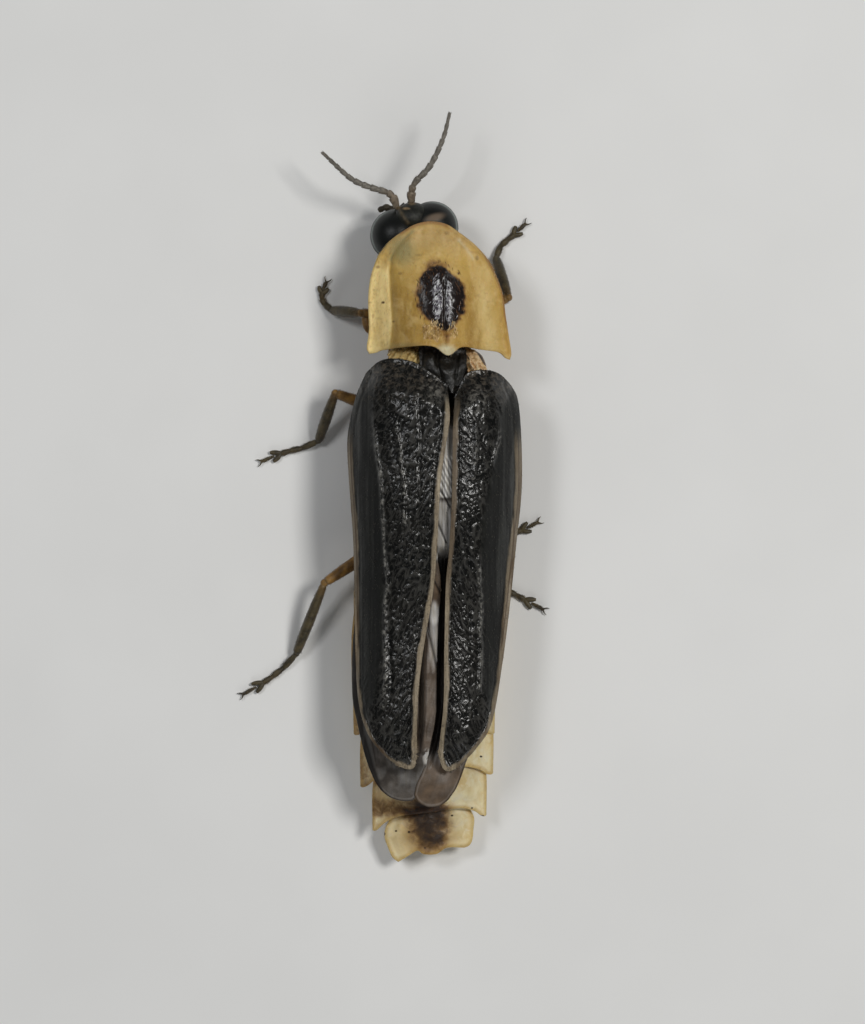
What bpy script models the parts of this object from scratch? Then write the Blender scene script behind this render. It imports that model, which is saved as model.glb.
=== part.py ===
"""A male firefly at rest, modelled at life size as a still museum piece.

Sizes are in millimetres and MM turns them into metres. The floor is z = 0, the
head points to -Y, the tail to +Y, and the animal's left side is +X.
"""
import math

import bmesh
import bpy
import numpy as np
from mathutils import Matrix, Vector

MM = 0.001

# Thickness of the shell plates
PLATE = 0.5

# How finely curves and tubes are drawn, and how close two points are one
SPAN_STEPS = 12
TUBE_RESOLUTION = 2
FINE_TUBE_RESOLUTION = 1
WELD = 1e-7
CUT_TOLERANCE = 1e-8
SHARP_ANGLE = math.radians(40.0)

# Line of the hind body seen from above, which leans a little to one side
AXIS_FRONT = (-1.50, -3.7)
AXIS_REAR = (-1.20, 9.0)

# Heights of the stack along the body: body, hind wing and elytron, front and rear
BODY_CREST = (2.85, 2.40)
WING_CREST = (3.75, 3.20)
COVER_CREST = (4.55, 4.00)
COVER_EDGE = (2.75, 3.05)
COVER_HALF_WIDTH = (2.85, 2.30)
CREST_FALL_FROM = 0.0
CREST_FALL_TO = 5.0
COVER_POWER = 3.5
COVER_REACH = 1.05
WING_DROP = 1.2
WING_REACH = 2.4

# Pronotum: crest heights at its front and hind edges, and how far its sides drop
PRONOTUM_CREST = (3.85, 4.30)
PRONOTUM_DROP = (0.35, 1.50)
PRONOTUM_AXIS_FRONT = (-1.33, -8.86)
PRONOTUM_AXIS_REAR = (-1.60, -4.40)
PRONOTUM_HALF_WIDTH = 2.36

# Head
HEAD_CENTRE = (-0.75, -8.53, 1.85)
HEAD_TURN = math.radians(15.0)
EYE_CENTRE = (0.60, 0.0, 0.0)
EYE_RADII = (0.86, 0.87, 0.88)
EYE_INNER = 0.68
CORE_SIDE = 0.40
ANTENNA_JOINTS = 11

# Legs
COXA_HEIGHT = 0.55
COXA_RADII = (0.42, 0.48, 0.28)
KNEE_HEIGHT = 1.52
ANKLE_HEIGHT = 0.30
FEMUR_RADIUS = 0.29
TIBIA_RADIUS = 0.26
FEMUR_BULGE = 0.06
TIBIA_BULGE = 0.02
TROCHANTER_RADII = (0.30, 0.30, 0.27)
TROCHANTER_OUT = 0.50
TARSUS_RADIUS = 0.25
TARSUS_END_RADIUS = 0.19
TARSUS_HEIGHT = 0.20
CLAW_RADIUS = 0.11

MODEL = "firefly"

# Colours: name to colour and roughness
COLOURS = {
    "amber": ((0.62, 0.43, 0.16), 0.42),
    "black_shell": ((0.022, 0.022, 0.020), 0.45),
    "black_head": ((0.012, 0.012, 0.012), 0.40),
    "eye": ((0.008, 0.010, 0.011), 0.12),
    "feeler": ((0.060, 0.052, 0.045), 0.60),
    "leg": ((0.075, 0.055, 0.035), 0.50),
    "underside": ((0.23, 0.14, 0.06), 0.50),
    "membrane": ((0.085, 0.070, 0.060), 0.35),
    "cream": ((0.60, 0.49, 0.24), 0.45),
    "lantern": ((0.78, 0.72, 0.50), 0.45),
}


def clear_scene():
    """Start from an empty scene."""
    for item in list(bpy.data.objects):
        bpy.data.objects.remove(item, do_unlink=True)


def blend(start, end, amount):
    """Linear mix of two numbers."""
    return start + (end - start) * amount


def ease(value, low, high):
    """A smooth step from 0 at low to 1 at high."""
    f = min(max((value - low) / (high - low), 0.0), 1.0)
    return f * f * (3.0 - 2.0 * f)


def smooth_path(points, count):
    """Evenly spaced points on one smooth curve through the given ones."""
    knots = [np.array(point, dtype=float) for point in points]
    knots = [2 * knots[0] - knots[1]] + knots + [2 * knots[-1] - knots[-2]]
    dense = []
    for before, start, end, after in zip(knots, knots[1:], knots[2:], knots[3:]):
        for step in range(SPAN_STEPS):
            f = step / SPAN_STEPS
            linear = (end - before) * f
            square = (2 * before - 5 * start + 4 * end - after) * f ** 2
            cube = (3 * start - before - 3 * end + after) * f ** 3
            dense.append(0.5 * (2 * start + linear + square + cube))
    dense.append(knots[-2])
    dense = np.array(dense)
    steps = np.linalg.norm(np.diff(dense, axis=0), axis=1)
    travelled = np.concatenate(([0.0], np.cumsum(steps)))
    wanted = np.linspace(0.0, travelled[-1], count)
    columns = [np.interp(wanted, travelled, dense[:, k]) for k in range(dense.shape[1])]
    return np.stack(columns, axis=1)


def link_object(name, mesh):
    """A new object in the scene from a mesh."""
    item = bpy.data.objects.new(name, mesh)
    bpy.context.scene.collection.objects.link(item)
    return item


def mesh_object(name, shape):
    """A new object from a bmesh, which is freed."""
    mesh = bpy.data.meshes.new(name)
    shape.to_mesh(mesh)
    shape.free()
    return link_object(name, mesh)


def ball(name, centre, radii, segments=16, rings=10, turn=0.0):
    """An ellipsoid in millimetres, turned about the upright axis."""
    shape = bmesh.new()
    bmesh.ops.create_uvsphere(shape, u_segments=segments, v_segments=rings, radius=1.0)
    scale = Matrix.Diagonal((*[radius * MM for radius in radii], 1.0))
    place = Matrix.Translation(Vector(centre) * MM)
    shape.transform(place @ Matrix.Rotation(turn, 4, "Z") @ scale)
    return mesh_object(name, shape)


def bake(item):
    """The evaluated shape as a plain mesh with its loose caps welded."""
    graph = bpy.context.evaluated_depsgraph_get()
    mesh = bpy.data.meshes.new_from_object(item.evaluated_get(graph))
    shape = bmesh.new()
    shape.from_mesh(mesh)
    bmesh.ops.remove_doubles(shape, verts=shape.verts, dist=WELD)
    bmesh.ops.recalc_face_normals(shape, faces=shape.faces)
    shape.to_mesh(mesh)
    shape.free()
    solid = link_object(item.name + "_solid", mesh)
    solid.matrix_world = item.matrix_world
    bpy.data.objects.remove(item, do_unlink=True)
    return solid


def limb(name, stations, count, resolution=TUBE_RESOLUTION):
    """A tapered tube through stations of x, y, z and radius."""
    curve = bpy.data.curves.new(name, "CURVE")
    curve.dimensions = "3D"
    curve.bevel_depth = MM
    curve.bevel_resolution = resolution
    curve.use_fill_caps = True
    spline = curve.splines.new("POLY")
    spline.points.add(count - 1)
    for point, (x, y, z, radius) in zip(spline.points, smooth_path(stations, count)):
        point.co = (x * MM, y * MM, z * MM, 1.0)
        point.radius = radius
    return bake(link_object(name, curve))


LIMB_SHARES = (0.0, 0.08, 0.28, 0.5, 0.72, 0.92, 1.0)
LIMB_END = 0.62


def rounded(start, end, radius_start, radius_end, bulge=0.0):
    """Stations of a straight limb piece with rounded ends and a bulge in the middle."""
    start = np.array(start, dtype=float)
    end = np.array(end, dtype=float)
    stations = []
    for f in LIMB_SHARES:
        radius = blend(radius_start, radius_end, f) + bulge * math.sin(math.pi * f)
        if f in (0.0, 1.0):
            radius *= LIMB_END
        stations.append((*(start + (end - start) * f), radius))
    return stations


def barrel(name, sections, count, sides=20, fullness=2.3):
    """A closed body lofted along Y.

    Each section is y, centre x, half width, lowest z and highest z.
    """
    shape = bmesh.new()
    rings = []
    for y, centre, half, low, high in smooth_path(sections, count):
        ring = []
        for side in range(sides):
            angle = 2.0 * math.pi * side / sides
            across = math.copysign(abs(math.cos(angle)) ** (2.0 / fullness), math.cos(angle))
            up = math.copysign(abs(math.sin(angle)) ** (2.0 / fullness), math.sin(angle))
            x = centre + half * across
            z = blend(low, high, 0.5 + 0.5 * up)
            ring.append(shape.verts.new((x * MM, y * MM, z * MM)))
        rings.append(ring)
    for near, far in zip(rings, rings[1:]):
        for side in range(sides):
            after = (side + 1) % sides
            shape.faces.new((near[side], near[after], far[after], far[side]))
    shape.faces.new(rings[0][::-1])
    shape.faces.new(rings[-1])
    bmesh.ops.recalc_face_normals(shape, faces=shape.faces)
    return mesh_object(name, shape)


def patch(side_a, side_b, front, rear, rows, columns):
    """Points in plan between four edge curves, as rows from front to rear."""
    edge_a = smooth_path(side_a, rows + 1)
    edge_b = smooth_path(side_b, rows + 1)
    edge_front = smooth_path(front, columns + 1)
    edge_rear = smooth_path(rear, columns + 1)
    grid = []
    for row in range(rows + 1):
        s = row / rows
        line = []
        for column in range(columns + 1):
            t = column / columns
            ruled = blend(edge_a[row], edge_b[row], t)
            crossing = blend(edge_front[column], edge_rear[column], s)
            near_corner = blend(edge_front[0], edge_front[-1], t)
            far_corner = blend(edge_rear[0], edge_rear[-1], t)
            line.append(ruled + crossing - blend(near_corner, far_corner, s))
        grid.append(line)
    return grid


def plate(name, grid, height, thickness=PLATE):
    """A shell plate: a surface over the plan points, thickened downwards.

    height gives z from x, y and the two shares along and across the plate.
    """
    shape = bmesh.new()
    rows = len(grid) - 1
    columns = len(grid[0]) - 1
    verts = []
    for row, line in enumerate(grid):
        made = []
        for column, (x, y) in enumerate(line):
            z = height(x, y, row / rows, column / columns)
            made.append(shape.verts.new((x * MM, y * MM, z * MM)))
        verts.append(made)
    for row in range(rows):
        for column in range(columns):
            a = verts[row][column]
            b = verts[row][column + 1]
            c = verts[row + 1][column + 1]
            d = verts[row + 1][column]
            shape.faces.new((a, b, c))
            shape.faces.new((a, c, d))
    bmesh.ops.recalc_face_normals(shape, faces=shape.faces)
    if sum(face.normal.z for face in shape.faces) < 0.0:
        bmesh.ops.reverse_faces(shape, faces=shape.faces)
    item = mesh_object(name, shape)
    thicken = item.modifiers.new("thickness", "SOLIDIFY")
    thicken.thickness = thickness * MM
    thicken.offset = -1.0
    return item


def slab(name, grid, top, thickness):
    """A block over the plan points with upright sides, for small thick plates.

    top gives z from x, y and the two shares along and across the block.
    """
    shape = bmesh.new()
    rows = len(grid) - 1
    columns = len(grid[0]) - 1
    layers = []
    for depth in (0.0, thickness):
        layer = []
        for row, line in enumerate(grid):
            made = []
            for column, (x, y) in enumerate(line):
                z = top(x, y, row / rows, column / columns) - depth
                made.append(shape.verts.new((x * MM, y * MM, z * MM)))
            layer.append(made)
        layers.append(layer)
    for layer in layers:
        for row in range(rows):
            for column in range(columns):
                a = layer[row][column]
                b = layer[row][column + 1]
                c = layer[row + 1][column + 1]
                d = layer[row + 1][column]
                shape.faces.new((a, b, c))
                shape.faces.new((a, c, d))
    upper, lower = layers
    corners = [(0, column) for column in range(columns)]
    corners += [(row, columns) for row in range(rows)]
    corners += [(rows, column) for column in range(columns, 0, -1)]
    corners += [(row, 0) for row in range(rows, 0, -1)]
    for near, far in zip(corners, corners[1:] + corners[:1]):
        a = upper[near[0]][near[1]]
        b = upper[far[0]][far[1]]
        c = lower[far[0]][far[1]]
        d = lower[near[0]][near[1]]
        shape.faces.new((a, b, c, d))
    bmesh.ops.recalc_face_normals(shape, faces=shape.faces)
    return mesh_object(name, shape)


def keep_largest(item):
    """Drop all but the largest closed surface of a mesh."""
    shape = bmesh.new()
    shape.from_mesh(item.data)
    waiting = set(shape.faces)
    islands = []
    while waiting:
        island = [waiting.pop()]
        for face in island:
            for edge in face.edges:
                for other in edge.link_faces:
                    if other in waiting:
                        waiting.discard(other)
                        island.append(other)
        islands.append(island)
    islands.sort(key=lambda faces: sum(face.calc_area() for face in faces))
    for island in islands[:-1]:
        bmesh.ops.delete(shape, geom=island, context="FACES")
    shape.to_mesh(item.data)
    shape.free()


def combine(name, pieces, operation="UNION", cutters=()):
    """Fuse closed pieces, or cut them, with one Boolean on a collection."""
    base = pieces[0] if operation == "UNION" else combine(name + "_base", pieces)
    tools = pieces[1:] if operation == "UNION" else list(cutters)
    if not tools:
        base.name = name
        return base
    group = bpy.data.collections.new(name + "_tools")
    bpy.context.scene.collection.children.link(group)
    for tool in tools:
        bpy.context.scene.collection.objects.unlink(tool)
        group.objects.link(tool)
    cut = base.modifiers.new("combine", "BOOLEAN")
    cut.operation = operation
    cut.operand_type = "COLLECTION"
    cut.collection = group
    cut.solver = "MANIFOLD"
    bpy.context.view_layer.update()
    solid = bake(base)
    for tool in tools:
        bpy.data.objects.remove(tool, do_unlink=True)
    bpy.data.collections.remove(group)
    keep_largest(solid)
    solid.name = name
    return solid


def slice_flat(item, point, outward):
    """Cut off what lies beyond a plane and close the cut with a flat face."""
    shape = bmesh.new()
    shape.from_mesh(item.data)
    everything = list(shape.verts) + list(shape.edges) + list(shape.faces)
    bmesh.ops.bisect_plane(
        shape,
        geom=everything,
        dist=CUT_TOLERANCE,
        plane_co=Vector(point) * MM,
        plane_no=Vector(outward),
        clear_outer=True,
    )
    rim = [edge for edge in shape.edges if edge.is_boundary]
    bmesh.ops.holes_fill(shape, edges=rim, sides=0)
    bmesh.ops.recalc_face_normals(shape, faces=shape.faces)
    shape.to_mesh(item.data)
    shape.free()


def rest_on_floor(item):
    """Give a piece its small flats at floor level."""
    slice_flat(item, (0.0, 0.0, 0.0), (0.0, 0.0, -1.0))


def line_x(front, rear, y):
    """The x of a straight line through two places in plan."""
    return blend(front[0], rear[0], (y - front[1]) / (rear[1] - front[1]))


def axis_x(y):
    """The hind body's middle line at a place along it."""
    return line_x(AXIS_FRONT, AXIS_REAR, y)


def along(pair, y):
    """A size that changes smoothly from the front of the elytra to their rear."""
    return blend(pair[0], pair[1], ease(y, CREST_FALL_FROM, CREST_FALL_TO))


def cover_height(x, y):
    """The elytra's common outer surface."""
    half = along(COVER_HALF_WIDTH, y)
    share = min(abs(x - axis_x(y)) / half, COVER_REACH)
    drop = along(COVER_CREST, y) - along(COVER_EDGE, y)
    return along(COVER_CREST, y) - drop * share ** COVER_POWER


def ridge(t, centre, width, height):
    """A low ridge across a plate at share t."""
    return height * math.exp(-((t - centre) / width) ** 2)


ELYTRON_ROWS = 30
ELYTRON_COLUMNS = 10
COSTA_HEIGHT = 0.07
COSTA_WIDTH = 0.07
COSTA_PLACES = (0.30, 0.62)
COSTA_START = 0.08
COSTA_LENGTH = 0.84
RIM_HEIGHT = 0.05
RIM_WIDTH = 0.05
SHOULDER_FALL = 0.55
SHOULDER_SHARE = 0.09
APEX_FALL = 0.35
APEX_SHARE = 0.86


def elytron(name, inner, outer, front, rear):
    """One wing case, with its costae and rim raised in its surface."""

    def height(x, y, s, t):
        z = cover_height(x, y)
        z -= SHOULDER_FALL * (1.0 - ease(s, 0.0, SHOULDER_SHARE))
        z -= APEX_FALL * ease(s, APEX_SHARE, 1.0)
        along_costa = min(max((s - COSTA_START) / COSTA_LENGTH, 0.0), 1.0)
        run = math.sin(math.pi * along_costa) ** 0.5
        for centre in COSTA_PLACES:
            z += run * ridge(t, centre, COSTA_WIDTH, COSTA_HEIGHT)
        for edge in (0.0, 1.0):
            z += run * ridge(t, edge, RIM_WIDTH, RIM_HEIGHT)
        return z

    return plate(name, patch(inner, outer, front, rear, ELYTRON_ROWS, ELYTRON_COLUMNS), height)


def elytron_left():
    """The left wing case."""
    inner = [(-1.80, -3.30), (-1.83, -2.2), (-1.72, -1.2), (-1.60, 0.8), (-1.43, 3.1)]
    inner += [(-1.12, 5.1), (-0.92, 7.0), (-0.84, 8.9)]
    outer = [(0.83, -3.75), (1.15, -3.0), (1.37, -2.1), (1.45, -1.4), (1.40, -0.3)]
    outer += [(1.24, 2.0), (1.20, 4.5), (1.10, 6.9), (0.80, 8.1), (0.30, 8.8), (-0.25, 9.25)]
    front = [inner[0], (-1.25, -3.72), (-0.75, -4.05), (-0.10, -4.20), (0.40, -4.12), outer[0]]
    rear = [inner[-1], (-0.80, 9.25), (-0.60, 9.35), outer[-1]]
    return elytron("elytron_left", inner, outer, front, rear)


def elytron_right():
    """The right wing case."""
    inner = [(-2.13, -2.85), (-2.15, -1.5), (-2.10, 0.5), (-1.97, 2.2), (-1.80, 3.8)]
    inner += [(-1.77, 6.0), (-1.72, 7.8), (-1.58, 8.9)]
    outer = [(-4.00, -3.35), (-4.20, -2.95), (-4.30, -2.2), (-4.36, -0.8), (-4.33, 0.4)]
    outer += [(-4.16, 2.0), (-3.98, 3.7), (-3.70, 5.9), (-3.35, 7.8), (-2.80, 8.7), (-2.20, 9.3)]
    front = [inner[0], (-2.50, -3.70), (-3.10, -3.84), (-3.60, -3.72), outer[0]]
    rear = [inner[-1], (-1.75, 9.30), (-1.95, 9.42), outer[-1]]
    return elytron("elytron_right", inner, outer, front, rear)


WING_ROWS = 22
WING_COLUMNS = 8
VEIN_HEIGHT = 0.08
VEIN_WIDTH = 0.06
VEIN_PLACES = (0.12, 0.375, 0.62, 0.88)


def hind_wing(name, inner, outer, front, rear):
    """One folded hind wing, with its main veins raised in its surface."""

    def height(x, y, s, t):
        share = abs(x - axis_x(y)) / WING_REACH
        z = along(WING_CREST, y) - WING_DROP * share ** 2
        for place in VEIN_PLACES:
            z += ridge(t, place, VEIN_WIDTH, VEIN_HEIGHT) * math.sin(math.pi * s)
        return z

    return plate(name, patch(inner, outer, front, rear, WING_ROWS, WING_COLUMNS), height)


def hindwing_left():
    """The left hind wing, folded, with its edge and tip past the wing case."""
    inner = [(-1.31, -2.2), (-1.30, 1.0), (-1.15, 4.5), (-0.98, 7.5), (-0.75, 10.35)]
    outer = [(-0.20, -2.2), (0.10, 0.0), (0.75, 2.2), (1.22, 4.6), (1.30, 6.8)]
    outer += [(1.12, 7.9), (0.85, 9.0), (0.48, 9.9)]
    front = [inner[0], (-0.75, -2.45), outer[0]]
    rear = [inner[-1], (-0.20, 10.42), (0.20, 10.25), outer[-1]]
    return hind_wing("hindwing_left", inner, outer, front, rear)


def hindwing_right():
    """The right hind wing, folded, with its tip past the wing case."""
    inner = [(-1.62, -2.2), (-1.62, 1.0), (-1.48, 4.5), (-1.30, 7.5), (-1.07, 10.4)]
    outer = [(-2.75, -2.2), (-3.00, 0.0), (-3.30, 2.2), (-3.20, 4.6), (-2.98, 6.8)]
    outer += [(-2.75, 8.2), (-2.45, 9.3), (-2.10, 10.1)]
    front = [inner[0], (-2.20, -2.45), outer[0]]
    rear = [inner[-1], (-1.35, 10.64), (-1.75, 10.50), outer[-1]]
    return hind_wing("hindwing_right", inner, outer, front, rear)


PRONOTUM_ROWS = 16
PRONOTUM_COLUMNS = 16
DISC_SHARE = 0.12
GROOVE_DEPTH = 0.06
GROOVE_WIDTH = 0.10


def pronotum():
    """The shield over the head's back: a raised disc with wide flat margins."""

    def height(x, y, s, t):
        middle = line_x(PRONOTUM_AXIS_FRONT, PRONOTUM_AXIS_REAR, y)
        side = abs(x - middle) / PRONOTUM_HALF_WIDTH
        z = blend(PRONOTUM_CREST[0], PRONOTUM_CREST[1], ease(s, 0.0, 0.8))
        fall = blend(PRONOTUM_DROP[0], PRONOTUM_DROP[1], ease(s, 0.1, 0.95))
        z -= fall * ease(side, DISC_SHARE, 1.0)
        return z - ridge(side, 0.0, GROOVE_WIDTH, GROOVE_DEPTH) * ease(s, 0.3, 0.9)

    left = [(-1.05, -8.80), (-0.40, -8.50), (0.05, -8.20), (0.45, -7.65), (0.66, -7.0)]
    left += [(0.76, -6.2), (0.73, -5.2), (0.80, -4.48)]
    right = [(-1.62, -8.80), (-2.25, -8.46), (-2.90, -7.93), (-3.40, -7.2), (-3.72, -6.4)]
    right += [(-3.84, -5.6), (-3.95, -4.9), (-4.02, -4.22)]
    front = [left[0], (-1.32, -8.86), right[0]]
    rear = [left[-1], (0.25, -4.55), (-0.90, -4.62), (-1.45, -4.58), (-1.90, -4.33)]
    rear += [(-2.35, -4.58), (-3.00, -4.52), (-3.60, -4.44), right[-1]]
    grid = patch(left, right, front, rear, PRONOTUM_ROWS, PRONOTUM_COLUMNS)
    return plate("pronotum", grid, height)


SCUTELLUM_TOP = 3.95
SCUTELLUM_CROWN = 0.12
SCUTELLUM_RISE = 0.12
SCUTELLUM_DEPTH = 0.72


def scutellum():
    """The back plate between pronotum and wing cases, with its hind point."""

    def height(x, y, s, t):
        crown = SCUTELLUM_CROWN * abs(2.0 * t - 1.0)
        return SCUTELLUM_TOP - crown + SCUTELLUM_RISE * ease(s, 0.1, 0.6)

    left = [(-1.07, -4.26), (-1.25, -4.10), (-1.60, -3.85), (-1.88, -3.62)]
    right = [(-2.40, -4.26), (-2.32, -4.00), (-2.24, -3.75), (-2.16, -3.52)]
    front = [left[0], (-1.50, -4.22), (-1.88, -4.00), (-2.18, -4.20), right[0]]
    rear = [left[-1], (-2.04, -3.46), right[-1]]
    return slab("scutellum", patch(left, right, front, rear, 6, 8), height, SCUTELLUM_DEPTH)


def prothorax():
    """The body under the pronotum, which carries the front legs."""
    sections = [
        (-6.78, -1.32, 0.72, 1.35, 2.65),
        (-6.55, -1.38, 1.05, 1.15, 2.95),
        (-6.00, -1.46, 1.30, 1.12, 3.15),
        (-5.20, -1.52, 1.38, 1.12, 3.30),
        (-4.85, -1.54, 1.25, 1.25, 3.20),
    ]
    return barrel("prothorax", sections, 9, sides=18)


def thorax():
    """The middle and hind thorax under the wing cases."""
    sections = [
        (-4.48, -1.52, 1.20, 1.35, 2.72),
        (-4.10, -1.51, 1.62, 1.18, 2.84),
        (-2.60, -1.48, 1.88, 1.12, 2.85),
        (-0.60, -1.43, 1.95, 1.10, 2.85),
        (1.20, -1.39, 1.86, 1.12, 2.80),
        (2.05, -1.37, 1.50, 1.30, 2.66),
    ]
    return barrel("thorax", sections, 14, sides=22)


# Abdomen rings: y of the hind edge, middle x, and half width out to the lobes
RINGS = (
    (3.10, -1.34, 1.95),
    (4.26, -1.18, 2.46),
    (6.20, -1.10, 2.46),
    (7.90, -1.10, 2.40),
    (9.45, -1.19, 2.26),
    (10.88, -1.28, 1.94),
)
FIRST_RING = 2.45
RING_OVERLAP = 0.22
RING_SINK = 0.20
RING_RISE = 0.14
RING_POWER = 1.9
RING_MARGIN = 0.98
MARGIN_ABOVE_BELLY = 0.45
TAIL_LEAN = 0.26

# Shares of the half width down a ring's side, and along its hind edge with how far back
SIDE_SHARES = (0.95, 0.98, 1.0)
LOBE_BACK = 0.42
HIND_EDGE = ((0.88, 0.34), (0.72, 0.12), (0.48, 0.0))

# Heights of the belly before and after it meets the floor, and of the tail's crest
BELLY_HEIGHTS = (1.45, -0.12)
BELLY_FROM = 2.2
BELLY_TO = 4.6
TAIL_CREST = 1.62
TAIL_FROM = 9.6
TAIL_TO = 11.5


def belly_low(y):
    """The underside's height, which lifts off the floor towards the thorax."""
    return blend(BELLY_HEIGHTS[0], BELLY_HEIGHTS[1], ease(y, BELLY_FROM, BELLY_TO))


def back_high(y):
    """The crest of the abdomen's back."""
    return blend(BODY_CREST[1], TAIL_CREST, ease(y, TAIL_FROM, TAIL_TO))


def ring_plate(name, start, end, centre, half, lean):
    """One ring's plate, with its hind corners drawn back into pale lobes."""

    def height(x, y, s, t):
        side = 2.0 * t - 1.0
        crest = back_high(y) - RING_SINK + RING_RISE * s
        margin = max(RING_MARGIN, belly_low(y) + MARGIN_ABOVE_BELLY)
        return crest - (crest - margin) * abs(side) ** RING_POWER

    def spread(share, y):
        return (centre + half * share, y + lean * share)

    def side_edge(sign):
        places = (start, blend(start, end, 0.5), end + LOBE_BACK)
        return [spread(sign * share, y) for share, y in zip(SIDE_SHARES, places)]

    def hind_edge(sign):
        return [spread(sign * share, end + back) for share, back in HIND_EDGE]

    left = side_edge(1)
    right = side_edge(-1)
    front = [left[0], spread(0.0, start), right[0]]
    rear = [left[-1], *hind_edge(1), spread(0.0, end), *reversed(hind_edge(-1)), right[-1]]
    plate_item = plate(name, patch(left, right, front, rear, 4, 14), height)
    return bake(plate_item)


def abdomen():
    """The abdomen: a flat-bellied core with overlapping ring plates and side lobes."""
    sections = [
        (2.38, -1.36, 1.35, 1.50, 2.30),
        (3.00, -1.34, 1.70, 1.05, 2.22),
        (4.20, -1.22, 1.95, 0.10, 2.18),
        (5.60, -1.13, 2.05, -0.18, 2.18),
        (7.60, -1.10, 2.02, -0.18, 2.18),
        (8.15, -1.12, 1.95, -0.05, 2.16),
        (8.50, -1.14, 1.90, 1.02, 2.12),
        (9.90, -1.28, 1.62, 1.02, 1.88),
        (10.70, -1.36, 1.40, 1.04, 1.62),
    ]
    pieces = [barrel("abdomen_core", sections, 18, sides=20, fullness=2.1)]
    start = FIRST_RING
    for index, (end, centre, half) in enumerate(RINGS):
        lean = TAIL_LEAN * ease(end, 7.5, 10.0)
        name = "ring_" + str(index)
        pieces.append(ring_plate(name, start, end, centre, half, lean))
        start = end - RING_OVERLAP
    fused = combine("abdomen", pieces)
    rest_on_floor(fused)
    return fused


def lantern():
    """The pale light organ: the last two plates of the underside."""
    sections = [
        (8.52, -1.14, 1.70, -0.10, 0.68),
        (9.00, -1.17, 1.80, -0.14, 0.72),
        (9.80, -1.25, 1.62, -0.14, 0.72),
        (10.40, -1.32, 1.38, -0.12, 0.72),
        (10.95, -1.37, 1.12, -0.02, 0.70),
    ]
    item = barrel("lantern", sections, 10, sides=18, fullness=2.8)
    rest_on_floor(item)
    return item


PYGIDIUM_TOP = 1.42
PYGIDIUM_SLOPE = 0.22
PYGIDIUM_CROWN = 0.30
PYGIDIUM_DEPTH = 0.8


def pygidium():
    """The last plate of the back, with its lobed hind edge."""

    def height(x, y, s, t):
        side = 2.0 * t - 1.0
        return PYGIDIUM_TOP - PYGIDIUM_SLOPE * s - PYGIDIUM_CROWN * side ** 2

    left = [(-0.05, 11.38), (0.20, 11.60), (0.10, 12.10), (-0.20, 12.50)]
    right = [(-2.62, 11.14), (-2.80, 11.40), (-2.74, 11.85), (-2.55, 12.06)]
    front = [left[0], (-1.34, 11.22), right[0]]
    rear = [left[-1], (-0.60, 12.26), (-0.95, 12.16), (-1.35, 12.26), (-1.85, 12.08), right[-1]]
    return slab("pygidium", patch(left, right, front, rear, 5, 10), height, PYGIDIUM_DEPTH)


def head_point(place):
    """A place in the head's own frame, as model millimetres."""
    turned = Matrix.Rotation(HEAD_TURN, 4, "Z") @ Vector(place)
    return tuple(turned + Vector(HEAD_CENTRE))


def eye_ball(name, side, extra):
    """A bulging eye, or its socket when it has something extra all round."""
    centre = head_point((side * EYE_CENTRE[0], EYE_CENTRE[1], EYE_CENTRE[2]))
    radii = [radius + extra for radius in EYE_RADII]
    item = ball(name, centre, radii, segments=20, rings=12, turn=HEAD_TURN)
    inner = head_point((side * (EYE_INNER - extra), 0.0, 0.0))
    inward = Matrix.Rotation(HEAD_TURN, 4, "Z") @ Vector((-side, 0.0, 0.0))
    slice_flat(item, inner, inward)
    return item


# Rounded masses of the head in its own frame: centre, radii, segments and rings
HEAD_MASSES = {
    "skull": ((0.0, 0.22, 0.0), (1.12, 0.98, 0.80), 20, 12),
    "neck": ((0.0, 1.02, -0.05), (0.62, 0.46, 0.62), 14, 8),
    "brow": ((0.0, -0.40, 0.22), (0.36, 0.33, 0.34), 12, 8),
    "face": ((0.0, -0.54, -0.30), (0.37, 0.36, 0.36), 12, 8),
    "lip": ((0.0, -0.72, -0.42), (0.26, 0.20, 0.16), 10, 6),
}

# The left jaw and palps in the head's frame, each point with its radius
JAW = ((0.16, -0.62, -0.55, 0.17), (0.22, -0.86, -0.60, 0.14), (0.06, -1.02, -0.62, 0.06))
PALP_LEFT = ((0.52, -0.98, -0.68, 0.15), (0.72, -1.04, -0.70, 0.18), (0.92, -1.00, -0.70, 0.13))
PALP_RIGHT = ((-0.50, -0.68, -1.14, 0.15), (-0.56, -0.70, -1.30, 0.18), (-0.52, -0.66, -1.44, 0.13))


def head_stations(route, side=1):
    """Limb stations from points and radii given in the head's frame."""
    return [(*head_point((side * x, y, z)), radius) for x, y, z, radius in route]


def head():
    """The head between the eyes, with brow, sockets, lip and jaws."""
    pieces = []
    for name, (place, radii, segments, rings) in HEAD_MASSES.items():
        pieces.append(ball(name, head_point(place), radii, segments, rings, HEAD_TURN))
    for side in (-1, 1):
        pieces.append(limb("jaw", head_stations(JAW, side), 5, FINE_TUBE_RESOLUTION))
    sockets = [eye_ball("socket", side, EYE_INNER - CORE_SIDE) for side in (-1, 1)]
    return combine("head", pieces, "DIFFERENCE", sockets)


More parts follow.
